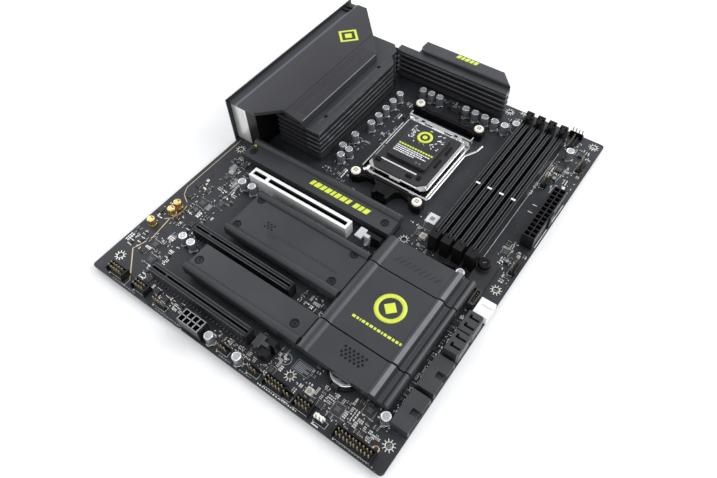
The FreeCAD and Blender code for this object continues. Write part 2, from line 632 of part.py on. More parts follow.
def socket_cap():
    """Plastic cap that protects the contacts; a flange under a raised pad."""
    cap = Piece("socket_cap", size("socket_x"), size("socket_y"))
    low = size("plate_low") + size("plate_thickness") + 0.05
    left, right, near, far, cut_corner, flange_height = -26.4, 23.4, -31.4, 26.0, 6.5, 1.0
    pad_place, pad_size, corner, edge_round = (-1.5, 2.5), (34.0, 40.0), 2.0, 0.5
    cap.pad([profile((left, near + cut_corner), (left + cut_corner, near), (right - cut_corner, near),
                     (right, near + cut_corner), (right, far), (left, far))], flange_height, "XY", low)
    cap.pad([centred(*pad_place, *pad_size)], size("cap_height") - flange_height, "XY",
            low + flange_height)
    cap.dress("Fillet", corner, lambda edge: runs_along(edge, Z_AXIS))
    top = low + size("cap_height")
    cap.dress("Fillet", edge_round, lambda edge: edge.BoundBox.ZMin > top - 0.01)


def mirrored(side, point):
    """A point of an outline, with its arc's middle if it has one, on one side of the X axis."""
    return tuple(value * (side if place % 2 else 1) for place, value in enumerate(point))


def screw_places():
    """Bracket screws about the middle of the socket."""
    half_x, half_y = size("cooler_pitch_x") / 2, size("cooler_pitch_y") / 2
    return [(sx * half_x, sy * half_y) for sx in (-1, 1) for sy in (-1, 1)]


def cooler_brackets():
    """Two plastic bars with clip lugs, each held by two screws."""
    brackets = Piece("cooler_brackets", size("socket_x"), size("socket_y"))
    half_x, half_y = size("cooler_pitch_x") / 2, size("cooler_pitch_y") / 2
    height, low, eye = size("bracket_height"), 0.2, 4.6
    inner, outer, lug = half_y - 7.6, half_y + 5.0, half_y + 9.5
    lug_half, window_half, window_depth, window_low = 6.5, 4.0, 2.5, 3.4
    waist_x, waist_y, neck_x, neck_y = 15.0, half_y - 2.0, 8.0, half_y + 1.5
    outline = ((-half_x - eye, inner + 4), (-half_x - eye, outer - 2), (-half_x, outer),
               (-half_x + 5, outer - 2), (-neck_x, neck_y, -waist_x, waist_y), (-lug_half, lug),
               (lug_half, lug), (neck_x, neck_y), (half_x - 5, outer - 2, waist_x, waist_y),
               (half_x, outer), (half_x + eye, outer - 2), (half_x + eye, inner + 4),
               (half_x, inner + 1), (12.0, inner), (-12.0, inner), (-half_x, inner + 1))
    for side in (-1, 1):
        brackets.pad([profile(*[mirrored(side, point) for point in outline])], height - low, "XY", low)
        window = sorted((side * (lug - window_depth), side * (lug + 1)))
        brackets.cut([block(-window_half, window_half, *window)], height - 3.0, "XY", window_low)
        under_frame = sorted((side * (inner - 1), side * (FRAME_HALF[1] + 4.4)))
        brackets.cut([block(-FRAME_HALF[0] - 6, FRAME_HALF[0] + 6, *under_frame)], height + 1, "XY", -0.5)
    hole = size("screw_shaft_radius") + 0.15
    brackets.cut([circle(x, y, hole) for x, y in screw_places()], height + 2, "XY", -1.0)


def bracket_screws():
    """Four screws through the brackets into the backplate."""
    top, shaft = size("bracket_height"), size("screw_shaft_radius")
    reach = size("board_thickness") + size("backplate_thickness") - 0.3
    head, drive, drive_width, drive_depth = 1.9, shaft * 1.4, 0.7, 1.2
    screws = Piece("bracket_screws")
    screws.pad([circle(x, y, "screw_shaft_radius") for x, y in cooler_points()],
               top + reach, "XY", -reach)
    screws.pad([circle(x, y, "screw_head_radius") for x, y in cooler_points()], head, "XY", top)
    drive_low = top + head - drive_depth + 0.1
    screws.cut([centred(x, y, drive, drive_width) for x, y in cooler_points()], drive_depth, "XY", drive_low)
    screws.cut([centred(x, y, drive_width, drive) for x, y in cooler_points()], drive_depth, "XY", drive_low)


def socket_backplate():
    """Steel plate under the board that takes the bracket screws."""
    low = -size("board_thickness") - size("backplate_thickness")
    half_x, half_y = size("cooler_pitch_x") / 2, size("cooler_pitch_y") / 2
    margin, corner, window, notch_half, through = 6.0, 4.0, 26.0, 14.0, 4.0
    wide, long = half_x + margin, half_y + margin
    plate = Piece("socket_backplate", size("socket_x"), size("socket_y"))
    plate.pad([profile((-wide, corner - long), (corner - wide, -long), (wide - corner, -long),
                       (wide, corner - long), (wide, long - corner), (wide - corner, long),
                       (corner - wide, long), (-wide, long - corner))],
              "backplate_thickness", "XY", low)
    plate.cut([centred(0, 0, window, window)], through, "XY", low - 0.5)
    notch_from, notch_to = half_y - 2, long + 1
    plate.cut([block(-notch_half, notch_half, -notch_to, -notch_from),
               block(-notch_half, notch_half, notch_from, notch_to)], through, "XY", low - 0.5)
    hole = size("screw_shaft_radius") + 0.15
    plate.cut([circle(x, y, hole) for x, y in screw_places()], through, "XY", low - 0.5)


# ---------------------------------------------------------------- memory slots

LATCH_HINGE = (141.0, 3.0)
LATCH_PIN, LATCH_BORE = 0.97, 1.05


def memory_slot(number):
    """Slot body with a fixed tower near the bottom edge and a latch fork at the far end."""
    x = size("dimm_first_x") + number * size("dimm_pitch")
    width, length, height = size("dimm_width"), size("dimm_length"), size("dimm_height")
    tower, tower_top = size("dimm_tower_depth"), size("dimm_tower_height")
    groove, depth = size("dimm_groove"), size("dimm_groove_depth")
    key_y, key_length = 62.0, 1.8
    slot = Piece(f"dimm_slot_{number + 1}", x, size("dimm_near"))
    slot.pad([centred(0, length / 2, "dimm_width", "dimm_length")], "dimm_height")
    slot.pad([block(-width / 2, width / 2, 0.0, tower)], tower_top - height, "XY", height)
    slot.pad([block(-width / 2, width / 2, length - tower, length)], 1.6, "XY", height)
    slot.cut([block(-groove / 2, groove / 2, tower - 3.0, key_y)], tower_top, "XY", height - depth)
    slot.cut([block(-groove / 2, groove / 2, key_y + key_length, length - tower + 1.0)],
             tower_top, "XY", height - depth)
    fork = size("dimm_latch_slot")
    slot.cut([block(-fork / 2, fork / 2, length - tower + 0.2, length + 1.0)], tower_top, "XY", 0.4)
    slot.cut([circle(*LATCH_HINGE, LATCH_BORE)], 2 * width, "YZ", -width)


def memory_latch(number):
    """Latch with a finger tab; it tips outwards on a pin in the fork."""
    x = size("dimm_first_x") + number * size("dimm_pitch")
    width = size("dimm_latch_width")
    hinge_y, hinge_z = LATCH_HINGE
    latch = Piece(f"dimm_latch_{number + 1}", x, size("dimm_near"))
    tab_start, tab_end, tab_low, tab_top, tab_width = 2.0, 4.8, 14.8, 17.2, 6.0
    latch.pad([profile((hinge_y - 1.8, 1.4), (hinge_y + 1.6, 1.4), (hinge_y + 1.9, 9.0),
                       (hinge_y + tab_end - 1.4, 14.2), (hinge_y + tab_end, 15.6),
                       (hinge_y + tab_end, tab_top), (hinge_y + 0.8, tab_top),
                       (hinge_y - 1.4, 15.0), (hinge_y - 1.8, 12.0))],
              "dimm_latch_width", "YZ", -width / 2)
    latch.pad([block(hinge_y + tab_start, hinge_y + tab_end, tab_low, tab_top)], tab_width,
              "YZ", -tab_width / 2)
    latch.pad([circle(hinge_y, hinge_z, LATCH_PIN)], size("dimm_width") - 0.4, "YZ",
              -size("dimm_width") / 2 + 0.2)


# ---------------------------------------------------------------- expansion slots

def slot_centre(number):
    """Expansion slots are counted from the top; each pitch is one card position."""
    return {1: 6, 2: 3, 3: 1}[number] * size("slot_pitch")


SLOT_END_WALL, KEY_LENGTH = 1.5, 1.8
CARD_HINGES, CARD_HINGE_Z = {1: 147.0, 3: 144.0}, 3.0


def expansion_slot(piece, number):
    """Long housing with a groove in two parts, split by the key."""
    start, end, key = size("slot_start"), size("slot_end"), size("slot_key")
    width, height = size("slot_width"), size("slot_height")
    groove, depth = size("slot_groove"), size("slot_groove_depth")
    y = slot_centre(number)
    piece.pad([block(start, end, y - width / 2, y + width / 2)], "slot_height")
    piece.cut([block(start + SLOT_END_WALL, key, y - groove / 2, y + groove / 2),
               block(key + KEY_LENGTH, end - SLOT_END_WALL, y - groove / 2, y + groove / 2)],
              depth + 1.0, "XY", height - depth)


def armoured_slot():
    """Slot under the cooler: plastic body, steel armour and a block that carries the latch."""
    slot = Piece("pcie_slot_1")
    expansion_slot(slot, 1)
    y = slot_centre(1)
    slot.pad([block(144.0, 156.5, y - 5.0, y - 1.6), block(144.0, 156.5, y + 1.6, y + 5.0),
              block(152.8, 156.5, y - 1.7, y + 1.7)], 10.0)
    slot.cut([circle(CARD_HINGES[1], CARD_HINGE_Z, LATCH_BORE)], 12.0, "XZ", y - 6.0)
    start, end = size("slot_start"), size("slot_end")
    wall, height, gap = size("armour_wall"), size("slot_height"), 0.15
    half = size("slot_width") / 2 + gap
    armour = Piece("pcie_slot_1_armour")
    armour.pad([block(start - gap - wall, end + gap + wall, y - half - wall, y + half + wall)],
               height + gap + wall, "XY", 0.0)
    armour.cut([block(start - gap, end + gap, y - half, y + half)], height + gap + 1.0, "XY", -1.0)
    key = size("slot_key")
    armour.cut([block(start + 1.2, key - 0.6, y - 1.7, y + 1.7),
                block(key + 2.4, end - 1.2, y - 1.7, y + 1.7)],
               3.0, "XY", height)


def slot_latch(number):
    """Card latch: a stem on a pin with a hooked finger over the slot's end."""
    y, hinge_x = slot_centre(number), CARD_HINGES[number]
    latch = Piece(f"pcie_latch_{number}")
    latch.pad([profile((hinge_x - 1.8, 1.4), (hinge_x + 2.0, 1.4), (hinge_x + 2.2, 11.6),
                       (hinge_x - 7.5, 11.6), (hinge_x - 7.5, 10.2), (hinge_x - 1.4, 9.0))],
              2.6, "XZ", y - 1.3)
    latch.pad([block(hinge_x - 7.5, hinge_x - 2.0, 10.4, 11.6)], 8.6, "XZ", y - 4.3)
    latch.pad([circle(hinge_x, CARD_HINGE_Z, LATCH_PIN)], 6.0, "XZ", y - 3.0)


def lower_slots():
    """Two unshielded slots; the bottom one has a latch between two cheeks."""
    expansion_slot(Piece("pcie_slot_2"), 2)
    slot = Piece("pcie_slot_3")
    expansion_slot(slot, 3)
    y = slot_centre(3)
    slot.pad([block(140.5, 149.0, y - 6.2, y - 1.6), block(140.5, 149.0, y + 1.6, y + 6.2)], 10.0)
    slot.pad([block(140.5, 149.0, y - 1.7, y + 1.7)], 0.6)
    slot.cut([circle(CARD_HINGES[3], CARD_HINGE_Z, LATCH_BORE)], 16.0, "XZ", y - 8.0)


BAR_START, BAR_ANGLE, BAR_LENGTH = (189.0, 135.2), 10.5, 27.0
BAR_GUIDES = [(195.0, 136.3), (210.0, 139.1)]


def slot_release():
    """Push button by the memory slots, its base, and the bar that it drives."""
    button_x, button_y = 222.6, 150.5
    base = Piece("release_base")
    base.pad([block(218.2, 231.5, 133.0, 157.5)], "release_base_height", "XY", 0.0)
    base.pad([circle(button_x, button_y, "release_collar")], "release_collar_height")
    base.cut([circle(button_x, button_y, size("release_radius") + 0.3)], 10.0, "XY", 0.7)
    button = Piece("release_button", button_x, button_y)
    foot, top = size("release_foot"), size("release_top")
    button.pad([circle(0, 0, "release_radius")], top - foot, "XY", foot)
    button.dress("Fillet", 0.6, lambda edge: edge.BoundBox.ZMin > top - 0.01)
    bar = Piece("release_linkage")
    bar.body.Placement = Placement(on_board(*BAR_START), Rotation(Z_AXIS, BAR_ANGLE))
    half_bar, half_end, end_length, low, thick = 1.1, 1.5, 2.6, 3.6, 1.8
    bar.pad([block(0.0, BAR_LENGTH, -half_bar, half_bar)], thick, "XY", low)
    bar.pad([block(0.0, end_length, -half_end, half_end),
             block(BAR_LENGTH - end_length, BAR_LENGTH, -half_end, half_end)], thick, "XY", low)
    guide_side, gap = 3.0, 0.3
    base.pad([centred(x, y, guide_side, guide_side) for x, y in BAR_GUIDES], low - gap)


# ---------------------------------------------------------------- heatsinks over drives and chipset

def strip_profile(near, far, ridges):
    """Section across a drive heatsink, with a rounded ridge along each listed edge."""
    foot, flat = size("strip_foot"), size("strip_top")
    crown, width = size("ridge_top"), size("ridge_width")
    points = [(near, foot)]
    if "near" in ridges:
        points += [(near, flat - 0.8), (near + width, flat, near + width / 2.3, crown)]
    else:
        points += [(near, flat)]
    if "far" in ridges:
        points += [(far - width, flat), (far, flat - 0.8, far - width / 2.3, crown)]
    else:
        points += [(far, flat)]
    points += [(far, foot)]
    return profile(*points)


DRIVE_STRIPS = {
    # label: (X limits, Y limits, edges with a ridge, screw places)
    "m2_heatsink_top": ((23.0, 158.0), (131.5, 151.0), ("far",), ((28.5, 138.5), (150.5, 138.5))),
    "m2_heatsink_middle": ((61.0, 158.5), (71.0, 112.0), ("near", "far"),
                           ((66.0, 105.0), (66.0, 79.0), (149.0, 105.0), (149.0, 79.5))),
    "m2_heatsink_lower": ((61.0, 158.5), (31.0, 54.5), ("near",), ((66.0, 42.0), (149.0, 42.0))),
}


def drive_heatsinks():
    flat = size("strip_top")
    for label, ((x0, x1), (y0, y1), ridges, screws) in DRIVE_STRIPS.items():
        strip = Piece(label)
        strip.pad([strip_profile(y0, y1, ridges)], x1 - x0, "YZ", x0)
        strip.cut([circle(x, y, "screw_ring") for x, y in screws], "screw_ring_depth", "XY",
                  flat - size("screw_ring_depth"))
        strip.cut([circle(x, y, 1.2) for x, y in screws], 12.0, "XY", 0.0)


CHIPSET_SECTIONS = {"upper": (107.0, 131.2), "centre": (54.4, 106.2), "lower": (30.6, 53.6)}


def chipset_profile():
    """Section along X shared by the three chipset covers: ridge, flat, band, valley, ridge."""
    foot, flat, crown = size("chipset_foot"), size("chipset_top"), size("chipset_ridge")
    return profile((159.2, foot), (159.2, flat - 1.2), (168.0, flat, 163.4, crown), (212.6, flat),
                   (214.2, crown - 0.2), (217.4, crown - 0.2), (219.2, flat - 1.6),
                   (222.4, flat - 1.6), (224.0, crown - 1.0), (227.2, flat - 2.4, 226.2, crown - 1.6),
                   (227.2, foot))


def chipset_heatsinks():
    for name, (y0, y1) in CHIPSET_SECTIONS.items():
        section = Piece(f"chipset_heatsink_{name}")
        section.pad([chipset_profile()], y1 - y0, "XZ", y0)


def fasteners():
    """Heatsink screws and the threaded posts that they enter."""
    screws = [place for _, _, _, places in DRIVE_STRIPS.values() for place in places]
    foot, flat = size("strip_foot"), size("strip_top")
    posts = Piece("heatsink_fasteners")
    posts.pad([circle(x, y, 2.0) for x, y in screws], foot - 0.2)
    posts.pad([circle(x, y, 1.0) for x, y in screws], flat - foot, "XY", foot - 0.2)
    posts.pad([circle(x, y, "small_head_radius") for x, y in screws], 1.0, "XY",
              flat - size("screw_ring_depth"))
    posts.cut([centred(x, y, 2.4, 0.5) for x, y in screws], 0.6, "XY", flat - 0.8)
    posts.cut([centred(x, y, 0.5, 2.4) for x, y in screws], 0.6, "XY", flat - 0.8)
    corners = [(x, y) for x in (163.6, 208.0) for y in (36.0, 48.0, 60.0, 101.0, 112.0, 126.0)]
    posts.pad([circle(x, y, 2.0) for x, y in corners], "chipset_foot")


def drive_sockets():
    """Edge connectors for the drives, at the front end of each strip."""
    sockets = Piece("m2_sockets")
    front, height = 157.5, 3.6
    for rear, y, half in ((153.5, 141.2, 7.0), (151.5, 91.5, 11.0), (151.5, 43.5, 11.0)):
        sockets.pad([block(rear, front, y - half, y + half)], height)


# ---------------------------------------------------------------- capacitors and cell

def capacitor_places():
    """Cans beside the two heatsinks, in two rows, then the scattered ones."""
    left = [(83.1, 217.3 + 10.35 * i) for i in range(5)]
    top = [(96.5 + 8.1 * i, 273.5) for i in range(3)] + [(137.2 + 8.7 * i, 273.5) for i in range(5)]
    corner = [(79.2, 184.6), (85.9, 183.4), (84.0, 175.6), (80.2, 199.5), (178.6, 280.3)]
    board = [(109.5, 5.3), (133.5, 5.0), (228.2, 27.0), (213.2, 134.5), (40.3, 112.0), (49.5, 112.2),
             (40.3, 50.7), (48.7, 50.0), (226.0, 276.5)]
    return left + top + corner + board


def capacitors():
    cans = Piece("polymer_capacitors")
    places = capacitor_places()
    radius, groove = size("can_radius"), size("can_groove")
    cans.pad([circle(x, y, radius) for x, y in places], "can_height")
    ring = [circle(x, y, r) for x, y in places for r in (radius + 0.5, radius - groove)]
    cans.cut(ring, 0.7, "XY", size("can_groove_low"))
    gold = Piece("audio_capacitors")
    gold_places = ((12.8, 71.0), (13.5, 64.2), (8.4, 49.0))
    gold.pad([circle(x, y, size("gold_can_radius")) for x, y in gold_places], "gold_can_height")
    gold.dress("Fillet", 0.6, lambda edge: edge.BoundBox.ZMin > size("gold_can_height") - 0.01)


def coin_cell():
    cell_x, cell_y = 192.5, 37.0
    floor, radius, wall = size("cell_floor"), size("cell_radius"), size("holder_wall")
    cell = Piece("coin_cell", cell_x, cell_y)
    cell.pad([circle(0, 0, "cell_radius")], "cell_height", "XY", floor + 0.05)
    cell.dress("Fillet", 0.6, lambda edge: edge.BoundBox.ZMin > floor + size("cell_height"))
    holder = Piece("coin_cell_holder", cell_x, cell_y)
    holder.pad([circle(0, 0, radius + wall + 0.3)], floor + 2.4)
    holder.cut([circle(0, 0, radius + 0.3)], 6.0, "XY", floor)
    holder.cut([block(-4.0, 4.0, -radius - wall - 2, 0.0)], 6.0, "XY", floor + 0.6)


# ---------------------------------------------------------------- connectors

def power_cells(x0, y0, columns, rows):
    """Square contact cells of a power connector."""
    pitch, side = size("power_pitch"), size("power_cell")
    return [centred(x0 + i * pitch, y0 + j * pitch, side, side)
            for i in range(columns) for j in range(rows)]


def power_connectors():
    height, depth, pitch = size("power_height"), size("power_depth"), size("power_pitch")
    main = Piece("atx_power_connector")
    x0, x1, y0, y1 = 232.4, 241.8, 182.7, 234.3
    main.pad([block(x0, x1, y0, y1), block(x1, x1 + 1.4, 205.5, 211.5)], "power_height")
    main.cut(power_cells((x0 + x1) / 2 - pitch / 2, (y0 + y1) / 2 - 5.5 * pitch, 2, 12),
             depth + 1, "XY", height - depth)
    processor = Piece("cpu_power_connectors")
    bodies = [(39.0, 57.4), (59.2, 77.6)]
    low, high = 294.2, 303.6
    processor.pad([block(a, b, low, high) for a, b in bodies], "power_height")
    for a, b in bodies:
        processor.cut(power_cells((a + b) / 2 - 1.5 * pitch, (low + high) / 2 - pitch / 2, 4, 2),
                      depth + 1, "XY", height - depth)
    extra = Piece("pcie_power_connector")
    a, b, low, high = 86.6, 105.0, 1.2, 10.2
    extra.pad([block(a, b, low, high)], "power_height")
    extra.pad([block(92.8, 98.8, high, high + 1.4)], 7.0, "XY", size("power_height") - 7.0)
    extra.cut(power_cells((a + b) / 2 - 1.5 * pitch, (low + high) / 2 - pitch / 2, 4, 2),
              depth + 1, "XY", height - depth)


def sata_connectors():
    """Two double drive connectors that open upwards, each with two keyed slots."""
    units = (80.2, 96.4)
    x0, x1, length, height = 233.2, 243.4, 15.4, 12.4
    slot_from, slot_to, slot_wide, slot_deep = x0 + 2.0, x1 - 1.2, 1.5, 7.0
    first_slot, slot_step, key_long, key_wide = 3.4, 6.6, 1.6, 1.5
    starts = [y + offset for y in units for offset in (first_slot, first_slot + slot_step)]
    sata = Piece("sata_connectors")
    sata.pad([block(x0, x1, y, y + length) for y in units], height)
    sata.cut([block(slot_from, slot_to, y, y + slot_wide) for y in starts], slot_deep + 1,
             "XY", height - slot_deep)
    sata.cut([block(slot_from, slot_from + key_long, y + slot_wide, y + slot_wide + key_wide)
              for y in starts], slot_deep + 1, "XY", height - slot_deep)
    sata.dress("Chamfer", 1.2, lambda edge: runs_along(edge, Z_AXIS)
               and abs(edge.CenterOfMass.x - x1) < 0.01)


def usb_headers():
    """Two edge-facing case headers and one small upright one."""
    headers = Piece("usb_headers")
    spans, x0, x1, height = ((26.0, 50.4), (53.4, 77.6)), 231.4, 243.6, 7.6
    wall, low, high, mouth = 1.6, 1.6, 6.2, 8.0
    tongue_margin, tongue_low, tongue_high, tongue_length = 3.4, 3.4, 4.6, 6.6
    notch_half, notch_length, notch_low = 2.2, 6.0, 6.0
    headers.pad([block(x0, x1, a, b) for a, b in spans], height)
    headers.cut([block(a + wall, b - wall, low, high) for a, b in spans], mouth + 1, "YZ", x1 - mouth)
    headers.pad([block(a + tongue_margin, b - tongue_margin, tongue_low, tongue_high)
                 for a, b in spans], tongue_length, "YZ", x1 - mouth)
    headers.cut([block(x1 - notch_length, x1 + 1, (a + b) / 2 - notch_half, (a + b) / 2 + notch_half)
                 for a, b in spans], height - notch_low + 1, "XY", notch_low)
    upright, hollow = (228.4, 232.4, 117.6, 130.6), (229.3, 231.5, 119.0, 129.2)
    headers.pad([block(*upright)], 8.2)
    headers.cut([block(*hollow)], 7.0, "XY", 2.0)


def white_connector():
    """Side-facing fan connector at the front edge."""
    plug = Piece("edge_fan_connector")
    plug.pad([block(234.0, 244.4, 114.6, 127.2)], 7.2)
    plug.cut([block(115.8, 126.0, 1.4, 5.8)], 7.0, "YZ", 238.4)
    plug.cut([block(236.0, 245.0, 119.0, 122.8)], 2.0, "XY", 6.2)


HEADERS = (
    # (X, Y of the first pin, pins along X, pins along Y)
    (16.0, 5.0, 5, 2), (157.5, 4.4, 5, 2), (180.4, 4.4, 4, 2), (210.4, 3.6, 5, 2), (222.5, 3.6, 5, 2),
    (40.5, 5.0, 4, 2), (60.0, 4.6, 4, 1), (118.0, 4.8, 3, 1), (143.0, 4.8, 3, 1), (171.0, 5.0, 2, 1),
    (195.2, 4.6, 3, 1), (221.5, 287.0, 1, 4), (237.0, 268.0, 1, 4), (222.0, 240.0, 1, 4),
    (239.0, 158.0, 1, 4),
)


def pin_headers():
    pitch, half = size("pin_pitch"), size("pin_pitch") / 2
    bases = Piece("pin_header_bases")
    bases.pad([block(x - half, x + (nx - 0.5) * pitch, y - half, y + (ny - 0.5) * pitch)
               for x, y, nx, ny in HEADERS], "pin_base_height")
    pins = Piece("pin_header_pins")
    side = size("pin_side")
    pins.pad([centred(x + i * pitch, y + j * pitch, side, side)
              for x, y, nx, ny in HEADERS for i in range(nx) for j in range(ny)],
             "pin_height", "XY", size("pin_base_height"))


# ---------------------------------------------------------------- assembly and files

def build_all():
    circuit_board()
    rear_shield()
    usb_and_video_ports()
    lan_port()
    antenna_jacks()
    audio_jack_block()
    rear_buttons()
    port_cover()
    left_heatsink()
    top_heatsink()
    power_stage()
    integrated_circuits()
    socket_housing()
    socket_frame()
    load_plate()
    socket_lever()
    socket_cap()
    cooler_brackets()
    bracket_screws()
    socket_backplate()
    for number in range(4):
        memory_slot(number)
        memory_latch(number)
    armoured_slot()
    slot_latch(1)
    lower_slots()
    slot_latch(3)
    slot_release()
    drive_heatsinks()
    chipset_heatsinks()
    fasteners()
    drive_sockets()
    capacitors()
    coin_cell()
    power_connectors()
    sata_connectors()
    usb_headers()
    white_connector()
    pin_headers()
    doc.recompute()


def check_all():
    """Stop on a failed feature, an empty or invalid shape, or a cut that removed nothing."""
    for item in doc.Objects:
        if "Invalid" in item.State or "Error" in item.State:
            raise RuntimeError(f"{item.Label} failed: {item.State}")
    for before, cut in CUTS:
        if before.Shape.Volume - cut.Shape.Volume < 1e-3:
            raise RuntimeError(f"{cut.Label} removed nothing")
    for item in SUB_PARTS:
        if item.Shape.isNull() or not item.Shape.isValid() or not item.Shape.Solids:
            raise RuntimeError(f"{item.Label} has no valid solid")


def write_all():
    os.makedirs("parts", exist_ok=True)
    for item in SUB_PARTS:
        item.Shape.exportStep(f"parts/{item.Label}.step")
        box = item.Shape.BoundBox
        print(f"{item.Label:26s} solids {len(item.Shape.Solids):3d} volume {item.Shape.Volume:10.1f}"
              f" x {box.XMin:7.1f} {box.XMax:7.1f} y {box.YMin:7.1f} {box.YMax:7.1f}"
              f" z {box.ZMin:5.1f} {box.ZMax:5.1f}")
    print(len(SUB_PARTS), "sub-parts")


build_all()
check_all()
write_all()
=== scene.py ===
import math
import random

import bpy
from mathutils import Matrix, Vector


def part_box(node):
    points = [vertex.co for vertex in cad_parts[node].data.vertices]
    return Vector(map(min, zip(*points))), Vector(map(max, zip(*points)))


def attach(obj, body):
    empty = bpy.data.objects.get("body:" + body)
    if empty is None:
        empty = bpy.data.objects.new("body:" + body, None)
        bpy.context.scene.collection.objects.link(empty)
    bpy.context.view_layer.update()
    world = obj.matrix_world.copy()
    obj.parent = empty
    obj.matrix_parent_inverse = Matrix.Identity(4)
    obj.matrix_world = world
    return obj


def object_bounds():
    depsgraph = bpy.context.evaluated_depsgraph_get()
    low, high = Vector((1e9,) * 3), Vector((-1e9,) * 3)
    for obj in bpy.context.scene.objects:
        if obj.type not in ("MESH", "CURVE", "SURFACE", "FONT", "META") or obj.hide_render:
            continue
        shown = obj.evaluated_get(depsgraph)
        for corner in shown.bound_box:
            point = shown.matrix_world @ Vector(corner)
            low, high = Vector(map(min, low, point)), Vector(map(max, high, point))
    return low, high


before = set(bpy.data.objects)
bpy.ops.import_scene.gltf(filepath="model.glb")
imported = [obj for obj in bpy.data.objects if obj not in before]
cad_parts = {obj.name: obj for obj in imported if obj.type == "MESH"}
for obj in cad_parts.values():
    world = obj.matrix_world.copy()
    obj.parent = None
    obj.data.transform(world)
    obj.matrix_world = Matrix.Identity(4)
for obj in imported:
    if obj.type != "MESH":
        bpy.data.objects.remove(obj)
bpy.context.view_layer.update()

# The object is a desktop motherboard. Details are laid out in board millimetres: X and Y from the
# board's rear bottom corner, Z up from the component side, then turned into the frame's metres.
MM = 0.001
ROOT = "board_assembly"
board_low, board_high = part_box("pcb")
BOARD_LEFT, BOARD_NEAR, BOARD_TOP = board_low.x / MM, board_low.y / MM, board_high.z / MM
BOARD_WIDTH = (board_high.x - board_low.x) / MM
BOARD_LENGTH = (board_high.y - board_low.y) / MM
THICK = (board_high.z - board_low.z) / MM
random.seed(7)


def in_frame(x, y, z=0.0):
    return ((x + BOARD_LEFT) * MM, (y + BOARD_NEAR) * MM, (z + BOARD_TOP) * MM)


def board_box(node):
    """Limits of a CAD node in board millimetres: low X, high X, low Y, high Y, low Z, high Z."""
    low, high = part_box(node)
    return (low.x / MM - BOARD_LEFT, high.x / MM - BOARD_LEFT, low.y / MM - BOARD_NEAR,
            high.y / MM - BOARD_NEAR, low.z / MM - BOARD_TOP, high.z / MM - BOARD_TOP)


def solids_of(node):
    """Limits of each separate solid of a node, in board millimetres."""
    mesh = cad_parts[node].data
    keys, owner = {}, []
    for vertex in mesh.vertices:
        key = tuple(round(c / MM * 20) for c in vertex.co)
        owner.append(keys.setdefault(key, len(keys)))
    parent = list(range(len(keys)))

    def root(i):
        while parent[i] != i:
            parent[i] = parent[parent[i]]
            i = parent[i]
        return i

    for polygon in mesh.polygons:
        first = root(owner[polygon.vertices[0]])
        for v in polygon.vertices[1:]:
            parent[root(owner[v])] = first
    boxes = {}
    for vertex, key in zip(mesh.vertices, owner):
        x, y, z = vertex.co / MM
        x, y, z = x - BOARD_LEFT, y - BOARD_NEAR, z - BOARD_TOP
        b = boxes.setdefault(root(key), [x, x, y, y, z, z])
        for axis, value in enumerate((x, y, z)):
            b[2 * axis] = min(b[2 * axis], value)
            b[2 * axis + 1] = max(b[2 * axis + 1], value)
    return [tuple(b) for b in boxes.values()]


# ---------------------------------------------------------------- materials

